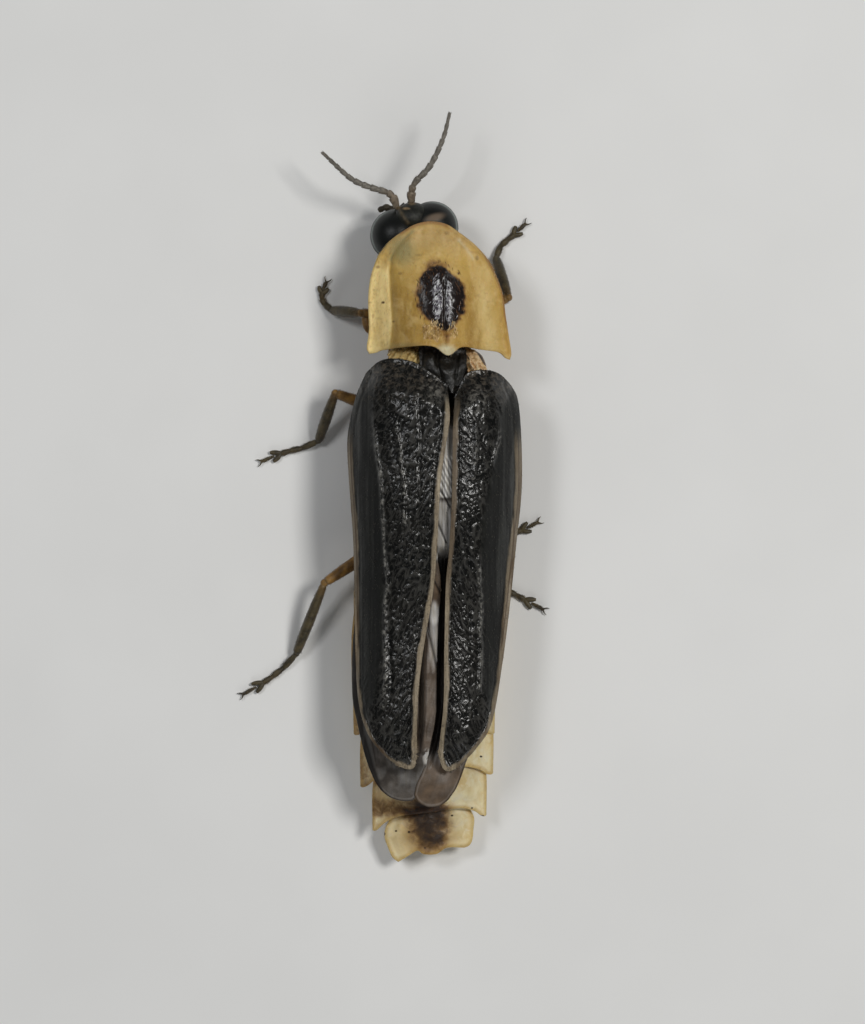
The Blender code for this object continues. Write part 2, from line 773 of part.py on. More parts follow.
# Feelers: radius at root and tip, how each joint swells, and both routes
ANTENNA_RADIUS = (0.23, 0.13)
JOINT_OVERLAP = 0.10
JOINT_BASE = 0.72
JOINT_WIDEST = 0.75
JOINT_END = 0.80
ANTENNA_LEFT = (
    (-0.25, -9.46, 2.20),
    (0.20, -9.80, 2.34),
    (0.63, -9.90, 2.46),
    (1.47, -10.36, 2.58),
    (2.30, -11.12, 2.45),
)
ANTENNA_RIGHT = (
    (-0.72, -9.57, 2.20),
    (-0.69, -9.80, 2.32),
    (-0.82, -10.12, 2.46),
    (-1.30, -10.65, 2.60),
    (-1.73, -11.55, 2.55),
    (-1.96, -12.44, 2.42),
)


def antenna(name, route):
    """A feeler of short flattened joints, each widest at its far end."""
    marks = smooth_path(route, ANTENNA_JOINTS + 1)
    pieces = []
    for joint in range(ANTENNA_JOINTS):
        share = joint / (ANTENNA_JOINTS - 1)
        radius = blend(ANTENNA_RADIUS[0], ANTENNA_RADIUS[1], share)
        start = marks[joint]
        end = marks[joint + 1]
        start = start - JOINT_OVERLAP * (end - start)
        stations = [
            (*start, radius * JOINT_BASE),
            (*blend(start, end, JOINT_WIDEST), radius),
            (*end, radius * JOINT_END),
        ]
        pieces.append(limb("joint", stations, 3, FINE_TUBE_RESOLUTION))
    return combine(name, pieces)


def palp(name, route):
    """A short mouth feeler beside the jaws."""
    item = limb(name, head_stations(route), 5, FINE_TUBE_RESOLUTION)
    item.name = name
    return item


# Legs seen from above: root, knee, ankle, then the foot's route out to its tip
LEGS = {
    "leg_front_left": (
        (-0.85, -5.60), (1.00, -5.80), (1.98, -5.93),
        ((2.30, -6.20), (2.33, -6.55), (2.20, -6.88)),
    ),
    "leg_front_right": (
        (-2.15, -5.60), (-3.92, -6.32), (-3.52, -7.68),
        ((-3.68, -8.12), (-4.10, -8.46), (-4.50, -8.84)),
    ),
    "leg_middle_left": (
        (-0.70, -2.20), (1.87, -3.12), (2.45, -1.55),
        ((2.90, -1.33), (3.60, -1.16), (4.36, -0.86)),
    ),
    "leg_middle_right": (
        (-2.25, -2.05), (-3.75, -0.62), (-3.35, 1.10),
        ((-3.73, 1.42), (-4.25, 1.52), (-4.92, 1.20)),
    ),
    "leg_hind_left": (
        (-0.65, 1.30), (2.23, 3.22), (3.20, 5.62),
        ((3.57, 6.05), (4.28, 6.58), (4.98, 6.98)),
    ),
    "leg_hind_right": (
        (-2.15, 1.30), (-3.85, 0.98), (-3.27, 3.30),
        ((-3.75, 3.42), (-4.45, 3.78), (-5.10, 4.12)),
    ),
}
FOOT_SHARES = (0.0, 0.30, 0.50, 0.66, 0.80, 1.0)
FOOT_STEPS = 40
FOOT_OVERLAP = 0.08
LOBED_JOINT = 3
LOBE_RADII = (0.16, 0.17)
LOBE_ASIDE = 0.16
LOBE_AHEAD = 0.08
CLAW_AHEAD = 0.20
CLAW_ASIDE = 0.15


def foot(heel, route):
    """Five short joints, the fourth two-lobed and the fifth with its claws."""
    stations = [tuple(heel)] + [(x, y, TARSUS_HEIGHT) for x, y in route]
    line = smooth_path(stations, FOOT_STEPS + 1)
    marks = [line[round(share * FOOT_STEPS)] for share in FOOT_SHARES]
    pieces = []
    joints = len(FOOT_SHARES) - 1
    for joint in range(joints):
        start = marks[joint]
        end = marks[joint + 1]
        ahead = (end - start) / np.linalg.norm(end - start)
        aside = np.array((-ahead[1], ahead[0], 0.0))
        radius = blend(TARSUS_RADIUS, TARSUS_END_RADIUS, joint / (joints - 1))
        back = start - FOOT_OVERLAP * ahead
        if joint == LOBED_JOINT:
            for side in (-1, 1):
                lobe = end + aside * side * LOBE_ASIDE + ahead * LOBE_AHEAD
                stations = [(*back, LOBE_RADII[0]), (*lobe, LOBE_RADII[1])]
                pieces.append(limb("lobe", stations, 2, FINE_TUBE_RESOLUTION))
            continue
        stations = [
            (*back, radius * 0.72),
            (*blend(start, end, 0.7), radius),
            (*end, radius * 0.85),
        ]
        pieces.append(limb("tarsal", stations, 3, FINE_TUBE_RESOLUTION))
    for side in (-1, 1):
        tip = marks[-1] + ahead * CLAW_AHEAD + aside * side * CLAW_ASIDE
        middle = marks[-1] + (ahead * CLAW_AHEAD * 0.5 + aside * side * CLAW_ASIDE * 0.73)
        stations = [
            (*marks[-1], CLAW_RADIUS),
            (*middle, CLAW_RADIUS * 0.9),
            (*tip, CLAW_RADIUS * 0.5),
        ]
        pieces.append(limb("claw", stations, 3, FINE_TUBE_RESOLUTION))
    return pieces


def leg(name):
    """One leg, from the round coxa to the claws."""
    root, knee, ankle, route = LEGS[name]
    hip = np.array((*root, COXA_HEIGHT))
    bend = np.array((*knee, KNEE_HEIGHT))
    heel = np.array((*ankle, ANKLE_HEIGHT))
    outward = (bend - hip) / np.linalg.norm(bend - hip)
    ring = hip + outward * TROCHANTER_OUT
    femur = rounded(ring, bend, FEMUR_RADIUS * 0.85, FEMUR_RADIUS * 0.8, FEMUR_BULGE)
    tibia = rounded(bend, heel, TIBIA_RADIUS * 0.85, TIBIA_RADIUS, TIBIA_BULGE)
    pieces = [
        ball("coxa", hip, COXA_RADII, 12, 8),
        ball("trochanter", ring, TROCHANTER_RADII, 10, 6),
        limb("femur", femur, len(femur)),
        limb("tibia", tibia, len(tibia)),
    ]
    pieces += foot(heel, route)
    fused = combine(name, pieces)
    rest_on_floor(fused)
    return fused


def paint(item, colour):
    """Give a piece its own material."""
    rgb, roughness = COLOURS[colour]
    material = bpy.data.materials.new(item.name + "_" + colour)
    material.use_nodes = True
    shader = material.node_tree.nodes["Principled BSDF"]
    shader.inputs["Base Color"].default_value = (*rgb, 1.0)
    shader.inputs["Roughness"].default_value = roughness
    shader.inputs["Metallic"].default_value = 0.0
    item.data.materials.clear()
    item.data.materials.append(material)


def build():
    """Make every piece, colour it and hang it on one empty."""
    clear_scene()
    made = [
        (head(), "black_head"),
        (eye_ball("eye_left", 1, 0.0), "eye"),
        (eye_ball("eye_right", -1, 0.0), "eye"),
        (antenna("antenna_left", ANTENNA_LEFT), "feeler"),
        (antenna("antenna_right", ANTENNA_RIGHT), "feeler"),
        (palp("palp_left", PALP_LEFT), "feeler"),
        (palp("palp_right", PALP_RIGHT), "feeler"),
        (pronotum(), "amber"),
        (prothorax(), "underside"),
        (thorax(), "underside"),
        (scutellum(), "black_shell"),
        (elytron_left(), "black_shell"),
        (elytron_right(), "black_shell"),
        (hindwing_left(), "membrane"),
        (hindwing_right(), "membrane"),
        (abdomen(), "cream"),
        (lantern(), "lantern"),
        (pygidium(), "cream"),
    ]
    made += [(leg(name), "leg") for name in LEGS]
    home = bpy.data.collections.new(MODEL)
    bpy.context.scene.collection.children.link(home)
    anchor = bpy.data.objects.new(MODEL + "_origin", None)
    home.objects.link(anchor)
    for item, colour in made:
        paint(item, colour)
        item.data.shade_smooth()
        item.data.set_sharp_from_angle(angle=SHARP_ANGLE)
        for holder in list(item.users_collection):
            holder.objects.unlink(item)
        home.objects.link(item)
        item.parent = anchor


build()
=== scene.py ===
"""The looks of a life-size museum model of a male firefly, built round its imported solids.

Shapes are worked out in millimetres, with the head towards -Y, the animal's left towards +X
and the floor at z = 0. Places on the photograph are in its pixels, u across and v down, and
seen() gives those of any point, so that markings and relief lie where the photograph has them.
"""
import itertools
import math

import bpy
import numpy as np
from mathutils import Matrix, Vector


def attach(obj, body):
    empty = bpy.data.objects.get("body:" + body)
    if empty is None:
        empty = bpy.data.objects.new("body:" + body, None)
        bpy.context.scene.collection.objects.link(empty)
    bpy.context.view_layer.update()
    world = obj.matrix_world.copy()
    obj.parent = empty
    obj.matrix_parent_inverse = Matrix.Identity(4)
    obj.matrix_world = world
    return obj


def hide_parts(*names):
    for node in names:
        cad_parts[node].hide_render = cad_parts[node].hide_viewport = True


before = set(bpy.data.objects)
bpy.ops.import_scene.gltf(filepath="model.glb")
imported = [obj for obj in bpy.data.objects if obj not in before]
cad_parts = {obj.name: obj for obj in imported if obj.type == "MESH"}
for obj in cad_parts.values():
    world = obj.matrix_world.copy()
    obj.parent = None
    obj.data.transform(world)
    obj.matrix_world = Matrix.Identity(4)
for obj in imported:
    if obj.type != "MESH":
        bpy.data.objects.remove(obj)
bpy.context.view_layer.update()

MM = 0.001
SEED = 20
UP = np.array([0.0, 0.0, 1.0])

# The photograph's frame and scale, and the camera's distance, middle and sensor in millimetres
FRAME_HEIGHT = 1024
PIXELS_PER_MM = 30.0
CAMERA_PLANE = 2.0
CAMERA_DISTANCE = 180.0
CAMERA_CENTRE = (-1.383, 0.85)
ORIGIN_PIXEL = (391.0, 486.5)
SENSOR = 24.0

# Line of the hind body seen from above
AXIS_FRONT = (-1.50, -3.7)
AXIS_REAR = (-1.20, 9.0)


# Numbers and curves

def blend(start, end, amount):
    """Linear mix of two values."""
    return start + (end - start) * amount


def ease(value, low, high):
    """A smooth step from 0 at low to 1 at high."""
    f = np.clip((np.asarray(value, dtype=float) - low) / (high - low), 0.0, 1.0)
    return f * f * (3.0 - 2.0 * f)


def ridge(value, centre, width):
    """A smooth bump of height 1 at a centre."""
    return np.exp(-((value - centre) / width) ** 2)


def unit(vectors):
    """Vectors made one long."""
    return vectors / np.maximum(np.linalg.norm(vectors, axis=-1, keepdims=True), 1e-12)


def smooth_path(points, count):
    """Evenly spaced points on one smooth curve through the given ones."""
    knots = [np.array(point, dtype=float) for point in points]
    knots = [2 * knots[0] - knots[1]] + knots + [2 * knots[-1] - knots[-2]]
    dense = []
    for before, start, end, after in zip(knots, knots[1:], knots[2:], knots[3:]):
        for step in range(12):
            f = step / 12
            linear = (end - before) * f
            square = (2 * before - 5 * start + 4 * end - after) * f ** 2
            cube = (3 * start - before - 3 * end + after) * f ** 3
            dense.append(0.5 * (2 * start + linear + square + cube))
    dense.append(knots[-2])
    dense = np.array(dense)
    steps = np.linalg.norm(np.diff(dense, axis=0), axis=1)
    travelled = np.concatenate(([0.0], np.cumsum(steps)))
    wanted = np.linspace(0.0, travelled[-1], count)
    columns = [np.interp(wanted, travelled, dense[:, k]) for k in range(dense.shape[1])]
    return np.stack(columns, axis=1)


def noise(points, cell, seed):
    """Smooth random numbers from -1 to 1, with lumps of about one cell.

    cell is a size in millimetres, or one for each axis.
    """
    spot = np.asarray(points, dtype=float) / np.asarray(cell, dtype=float)
    base = np.floor(spot).astype(np.int64)
    f = spot - base
    f = f * f * (3.0 - 2.0 * f)
    total = np.zeros(spot.shape[:-1])
    for corner in itertools.product((0, 1), repeat=3):
        place = base + np.array(corner)
        mixed = place[..., 0] * 73856093 ^ place[..., 1] * 19349663 ^ place[..., 2] * 83492791
        mixed = (mixed ^ (seed * 2654435761)) & 0xFFFFFFFF
        mixed = (mixed ^ (mixed >> 15)) * 1274126177 & 0xFFFFFFFF
        mixed = (mixed ^ (mixed >> 13)) * 974634777 & 0xFFFFFFFF
        value = ((mixed ^ (mixed >> 16)) & 0xFFFF) / 32767.5 - 1.0
        weight = np.prod(np.where(corner, f, 1.0 - f), axis=-1)
        total += value * weight
    return total


def layered(points, cell, octaves, seed):
    """Noise with finer and weaker layers on top."""
    total = 0.0
    for octave in range(octaves):
        total = total + noise(points, np.asarray(cell) / 2 ** octave, seed + octave) / 2 ** octave
    return total


def line_x(front, rear, y):
    """The x of a straight line through two places in plan."""
    return blend(front[0], rear[0], (y - front[1]) / (rear[1] - front[1]))


def axis_x(y):
    """The hind body's middle line."""
    return line_x(AXIS_FRONT, AXIS_REAR, y)


def patch(side_a, side_b, front, rear, rows, columns):
    """Points in plan between four edge curves, as an array from front to rear."""
    s = np.linspace(0.0, 1.0, rows)[:, None, None]
    t = np.linspace(0.0, 1.0, columns)[None, :, None]
    edge_a = smooth_path(side_a, rows)[:, None, :]
    edge_b = smooth_path(side_b, rows)[:, None, :]
    edge_front = smooth_path(front, columns)[None, :, :]
    edge_rear = smooth_path(rear, columns)[None, :, :]
    ruled = blend(edge_a, edge_b, t)
    crossing = blend(edge_front, edge_rear, s)
    near = blend(edge_front[:, :1], edge_front[:, -1:], t)
    far = blend(edge_rear[:, :1], edge_rear[:, -1:], t)
    return ruled + crossing - blend(near, far, s)


def rim_of(grid):
    """The points round the edge of a grid."""
    return np.concatenate([grid[0], grid[:, -1], grid[-1][::-1], grid[::-1, 0]])


def distance_to(points, line):
    """How far each plan point is from the nearest of a line's points."""
    flat = points.reshape(-1, 2)
    nearest = np.full(len(flat), 1e9)
    for spot in line[::2]:
        nearest = np.minimum(nearest, np.hypot(flat[:, 0] - spot[0], flat[:, 1] - spot[1]))
    return nearest.reshape(points.shape[:-1])


def grid_normals(grid):
    """Unit normals of a grid of points, turned upwards."""
    normal = unit(np.cross(np.gradient(grid, axis=0), np.gradient(grid, axis=1)))
    return -normal if normal[..., 2].mean() < 0.0 else normal


def raised(plan, height=0.0):
    """Plan points with a height given to them."""
    height = np.broadcast_to(height, plan.shape[:-1])
    return np.concatenate([plan, height[..., None]], axis=-1)


def clipped(marks):
    """Marks kept from 0 to 1."""
    return {name: np.clip(value, 0.0, 1.0) for name, value in marks.items()}


# Places as the photograph shows them, in its pixels

def seen(points):
    """Where the camera sees each place, across and down."""
    scale = CAMERA_DISTANCE / (CAMERA_PLANE + CAMERA_DISTANCE - points[..., 2])
    x = CAMERA_CENTRE[0] + (points[..., 0] - CAMERA_CENTRE[0]) * scale
    y = CAMERA_CENTRE[1] + (points[..., 1] - CAMERA_CENTRE[1]) * scale
    return ORIGIN_PIXEL[0] - PIXELS_PER_MM * x, ORIGIN_PIXEL[1] + PIXELS_PER_MM * y


def trace(line, v):
    """The u of a line at each v; the line is given from top to bottom."""
    line = np.array(line, dtype=float)
    return np.interp(v, line[:, 1], line[:, 0])


def between(value, low, high, soft):
    """1 from low to high, fading over a soft width outside them."""
    return ease(value, low - soft, low) * (1.0 - ease(value, high, high + soft))


def stroke(u, v, line, width, fade=6.0):
    """How close each place is to an upright line, from 0 to 1."""
    return ridge(u, trace(line, v), width) * between(v, line[0][1], line[-1][1], fade)


def blot(u, v, centre, radii, soft=0.35, turn=0.0):
    """A soft-edged oval: 1 inside and 0 outside."""
    c, s = math.cos(turn), math.sin(turn)
    across = (u - centre[0]) * c + (v - centre[1]) * s
    down = (v - centre[1]) * c - (u - centre[0]) * s
    far = np.hypot(across / radii[0], down / radii[1])
    return 1.0 - ease(far, 1.0 - soft, 1.0 + soft)


def strokes(u, v, routes, width):
    """The strongest of several strokes."""
    return np.max([stroke(u, v, route, width) for route in routes], axis=0)


def specks(u, v, table):
    """Small ovals, each given by u, v, its two radii and its strength."""
    total = 0.0 * u
    for across, down, wide, high, strength in table:
        total = np.maximum(total, strength * blot(u, v, (across, down), (wide, high), 0.5))
    return total


def shares(rows, columns):
    """Each grid point's share along and across."""
    s = np.linspace(0.0, 1.0, rows)[:, None] + np.zeros((1, columns))
    t = np.linspace(0.0, 1.0, columns)[None, :] + np.zeros((rows, 1))
    return s, t


def net(points, cell, seed, sharp):
    """A network of thin raised lines, 1 on a line and 0 between."""
    return np.clip(1.0 - sharp * np.abs(noise(points, cell, seed)), 0.0, 1.0)


def turned(points, angle):
    """Points turned about the upright axis."""
    c, s = math.cos(angle), math.sin(angle)
    x, y = points[..., 0], points[..., 1]
    return np.stack([x * c - y * s, x * s + y * c, points[..., 2]], axis=-1)


# Meshes

def grid_quads(rows, columns, start=0, wrap=False, flip=False):
    """Faces of a grid whose points begin at start; wrap joins its last column to its first."""
    row = np.arange(rows - 1)[:, None] * columns
    column = np.arange(columns if wrap else columns - 1)[None, :]
    after = (column + 1) % columns
    quads = np.stack([row + column, row + after, row + columns + after, row + columns + column], axis=-1)
    quads = quads.reshape(-1, 4)
    return (quads[:, ::-1] if flip else quads) + start


def placed(name, mesh, material):
    """A mesh as a smooth piece that rides on the body."""
    mesh.shade_smooth()
    piece = bpy.data.objects.new(name, mesh)
    bpy.context.scene.collection.objects.link(piece)
    mesh.materials.append(material)
    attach(piece, "root")
    return piece


class Shape:
    """Gathers the points, faces and point marks of one piece."""

    def __init__(self):
        self.points = []
        self.faces = []
        self.marks = {}
        self.count = 0

    def add(self, points, faces, **marks):
        """Take in more geometry; faces is a list of arrays of corner numbers."""
        points = np.asarray(points, dtype=float).reshape(-1, 3)
        for quads in faces:
            self.faces += (np.asarray(quads) + self.count).tolist()
        for name in set(self.marks) | set(marks):
            have = self.marks.setdefault(name, np.zeros(self.count))
            value = np.broadcast_to(np.asarray(marks.get(name, 0.0), dtype=float).ravel(), len(points))
            self.marks[name] = np.concatenate([have, value])
        self.points.append(points)
        self.count += len(points)

    def build(self, name, material, slot, *nodes):
        """The finished piece, which rides on the body and stands for its nodes."""
        mesh = bpy.data.meshes.new(name)
        mesh.from_pydata(np.concatenate(self.points) * MM, [], self.faces)
        mesh.update()
        for mark, values in self.marks.items():
            layer = mesh.attributes.new(mark, "FLOAT", "POINT")
            layer.data.foreach_set("value", values.astype(np.float32))
        piece = placed(name, mesh, material)
        if nodes:
            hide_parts(*nodes)
        return piece


def add_sheet(shape, top, thickness, **marks):
    """A thin closed plate from its upper surface, thickened inwards."""
    rows, columns = top.shape[:2]
    normal = grid_normals(top)
    lower = top - normal * np.broadcast_to(thickness, (rows, columns))[..., None]
    total = rows * columns
    upward = np.cross(top[1, 0] - top[0, 0], top[0, 1] - top[0, 0])[2] < 0.0
    grid = np.arange(total).reshape(rows, columns)
    edge = np.concatenate([grid[0, :-1], grid[:-1, -1], grid[-1, :0:-1], grid[:0:-1, 0]])
    ahead = np.roll(edge, -1)
    wall = np.stack([edge, ahead, ahead + total, edge + total], axis=1)
    faces = [
        grid_quads(rows, columns, 0, flip=not upward),
        grid_quads(rows, columns, total, flip=upward),
        wall[:, ::-1] if upward else wall,
    ]
    doubled = {}
    for name, value in marks.items():
        upper = np.broadcast_to(value, (rows, columns)).ravel()
        doubled[name] = np.concatenate([upper, upper])
    shape.add(np.concatenate([top.reshape(-1, 3), lower.reshape(-1, 3)]), faces, **doubled)
    return normal


def add_rings(shape, rings, ends, flip=False, **marks):
    """A stack of rings that a fan closes at each end; flip turns its faces over."""
    count, sides = rings.shape[:2]
    total = count * sides
    last = total - sides
    around = np.arange(sides)
    after = (around + 1) % sides
    near, far = (around, after) if flip else (after, around)
    faces = [
        grid_quads(count, sides, wrap=True, flip=flip),
        np.stack([np.full(sides, total), near, far], axis=1),
        np.stack([np.full(sides, total + 1), last + far, last + near], axis=1),
    ]
    shape.add(np.concatenate([rings.reshape(-1, 3), ends]), faces, **marks)


def add_tube(shape, line, wide, high, sides=14, rough=0.0, seed=0, **marks):
    """A closed tube along a line, with half widths and half heights at its points."""
    count = len(line)
    forward = unit(np.gradient(line, axis=0))
    side = unit(np.cross(forward, UP))
    above = np.cross(side, forward)
    angle = np.linspace(0.0, 2.0 * math.pi, sides, endpoint=False)[None, :, None]
    ring = side[:, None] * np.cos(angle) * np.broadcast_to(wide, count)[:, None, None]
    ring = ring + above[:, None] * np.sin(angle) * np.broadcast_to(high, count)[:, None, None]
    points = line[:, None] + ring
    if rough:
        points = points + unit(ring) * (layered(points, rough * 5.0, 2, seed) * rough)[..., None]
    spread = {}
    for name, value in marks.items():
        values = np.broadcast_to(value, count)
        spread[name] = np.concatenate([np.repeat(values, sides), values[:1], values[-1:]])
    add_rings(shape, points, line[[0, -1]], **spread)
    return points


def add_barrel(shape, sections, count, sides, fullness=2.2, rough=0.0, dent=None, **marks):
    """A closed body lofted along Y: y, centre x, half width, lowest z and highest z."""
    path = smooth_path(sections, count)
    angle = np.linspace(0.0, 2.0 * math.pi, sides, endpoint=False)[None, :]
    power = 2.0 / fullness
    across = np.sign(np.cos(angle)) * np.abs(np.cos(angle)) ** power
    rise = np.sign(np.sin(angle)) * np.abs(np.sin(angle)) ** power
    y = np.repeat(path[:, 0:1], sides, axis=1)
    x = path[:, 1:2] + path[:, 2:3] * across
    z = blend(path[:, 3:4], path[:, 4:5], 0.5 + 0.5 * rise)
    points = np.stack([x, y, z], axis=-1)
    centre = np.stack([path[:, 1], path[:, 0], (path[:, 3] + path[:, 4]) / 2], axis=-1)[:, None]
    outward = unit(points - centre)
    if dent is not None:
        points = points + outward * dent(points)[..., None]
    if rough:
        points = points + outward * (layered(points, rough * 6.0, 3, 5) * rough)[..., None]
    add_rings(shape, points, points[[0, -1]].mean(axis=1), flip=True, **marks)


def unit_ball(rows, sides):
    """Points of a ball of radius 1, ring by ring, then its two poles."""
    tilt = np.linspace(0.0, math.pi, rows + 2)[1:-1, None]
    angle = np.linspace(0.0, 2.0 * math.pi, sides, endpoint=False)[None, :]
    ring = [np.sin(tilt) * np.cos(angle), np.sin(tilt) * np.sin(angle), np.cos(tilt) + 0.0 * angle]
    return np.concatenate([np.stack(ring, axis=-1).reshape(-1, 3), [[0.0, 0.0, 1.0], [0.0, 0.0, -1.0]]])


def add_ball(shape, centre, radii, turn=0.0, rows=24, sides=36, **marks):
    """A closed ellipsoid, turned about the upright axis."""
    points = turned(unit_ball(rows, sides) * np.array(radii), turn) + np.array(centre)
    add_rings(shape, points[:-2].reshape(rows, sides, 3), points[-2:], flip=True, **marks)


# Hairs, whose sizes are length, width and lift

HAIR_UV = "OFBake"
HAIR_POINTS = 7
HAIR_PATCH = 0.003
LOWEST_HAIR = 0.012
ROOT_DEPTH = 0.006
ELYTRON_HAIR = (0.08, 0.008, 0.3)
PRONOTUM_HAIR = (0.07, 0.008, 0.3)
SPOT_HAIR = (0.18, 0.024, 0.10)
FEELER_HAIR = (0.045, 0.006, 0.3)
LEG_HAIR = (0.070, 0.007, 0.35)


def hair_piece(name, material, roots, along, normal, sizes, places, seed):
    """Short solid hairs: each one a thin three-sided spike that bends to the skin.

    places are the roots' places on an unwrap of the skin, as shares from 0 to 1.
    """
    length, width, lift = sizes
    draw = np.random.default_rng(SEED + seed)
    count = len(roots)
    along = unit(along - normal * np.sum(along * normal, axis=1, keepdims=True))
    swing = draw.normal(0.0, 0.22, (count, 1))
    along = along * np.cos(swing) + np.cross(along, normal) * np.sin(swing)
    side = np.cross(along, normal)
    long = (length * draw.uniform(0.7, 1.3, count))[:, None]
    rise = (lift * draw.uniform(0.6, 1.4, count))[:, None]
    thick = (width * draw.uniform(0.8, 1.2, count))[:, None]
    points = np.empty((count, HAIR_POINTS, 3))
    for corner in range(3):
        c, s = math.cos(2.0 * math.pi * corner / 3.0), math.sin(2.0 * math.pi * corner / 3.0)
        points[:, corner] = roots - normal * ROOT_DEPTH + (side * c + along * s) * thick * 0.5
        middle = roots + (along * 0.5 + normal * rise * 0.75) * long
        points[:, 3 + corner] = middle + (side * c + normal * s) * thick * 0.38
    points[:, 6] = roots + (along + normal * rise * 0.85) * long
    points[..., 2] = np.maximum(points[..., 2], LOWEST_HAIR)
    corners = []
    for a, b in ((0, 1), (1, 2), (2, 0)):
        corners += [[a, b, b + 3, a + 3], [a + 3, b + 3, 6]]
    corners.append([2, 1, 0])
    start = (np.arange(count) * HAIR_POINTS)[:, None]
    faces = []
    for block in corners:
        faces += (start + np.array(block)).tolist()
    mesh = bpy.data.meshes.new(name)
    mesh.from_pydata(points.reshape(-1, 3) * MM, [], faces)
    mesh.update()
    local = np.array([[0, 0], [1, 0], [0.5, 1], [0, 0.5], [1, 0.5], [0.5, 0.6], [0.5, 1]]) * HAIR_PATCH
    spots = [(places[:, None] * (1.0 - HAIR_PATCH) + local[block]).ravel() for block in corners]
    layer = mesh.uv_layers.new(name=HAIR_UV)
    layer.data.foreach_set("uv", np.concatenate(spots).astype(np.float32))
    placed(name, mesh, material)


def scatter(grid, normal, count, seed):
    """Random roots on a grid surface: points, normals and places on its unwrap."""
    draw = np.random.default_rng(SEED + 100 + seed)
    rows, columns = grid.shape[:2]
    s = draw.uniform(0.0, 1.0, count)
    t = draw.uniform(0.0, 1.0, count)
    row, column = s * (rows - 1), t * (columns - 1)
    r = np.minimum(row.astype(int), rows - 2)
    c = np.minimum(column.astype(int), columns - 2)
    down, across = (row - r)[:, None], (column - c)[:, None]

    def read(values):
        near = blend(values[r, c], values[r, c + 1], across)
        return blend(near, blend(values[r + 1, c], values[r + 1, c + 1], across), down)

    return read(grid), read(normal), np.stack([s, t], axis=1)


def coat(name, tubes, sizes, material, seed):
    """Hairs all round some tubes, pointing along them; each tube has its strip of the unwrap."""
    draw = np.random.default_rng(SEED + seed)
    gathered = []
    for index, (points, line, count) in enumerate(tubes):
        rows, sides = points.shape[:2]
        row = draw.integers(1, rows - 1, count)
        column = draw.integers(0, sides, count)
        f = draw.uniform(0.0, 1.0, (count, 1))
        roots = blend(points[row, column], points[row, (column + 1) % sides], f)
        strip = (index + row / rows) / len(tubes)
        places = np.stack([strip, (column + f[:, 0]) / sides * 0.99], axis=1)
        gathered.append((roots, unit(np.gradient(line, axis=0)[row]), unit(roots - line[row]), places))
    roots, forward, normal, places = [np.concatenate(column) for column in zip(*gathered)]
    hair_piece(name, material, roots, forward, normal, sizes, places, seed)


# Materials

LIGHT_LEVEL = 0.78


def tone(red, green, blue):
    """A colour as the photograph shows it, as the shader's own linear colour."""
    channels = []
    for value in (red, green, blue):
        share = value / 255.0
        linear = share / 12.92 if share <= 0.04045 else ((share + 0.055) / 1.055) ** 2.4
        channels.append(min(linear / LIGHT_LEVEL, 1.0))
    return (*channels, 1.0)


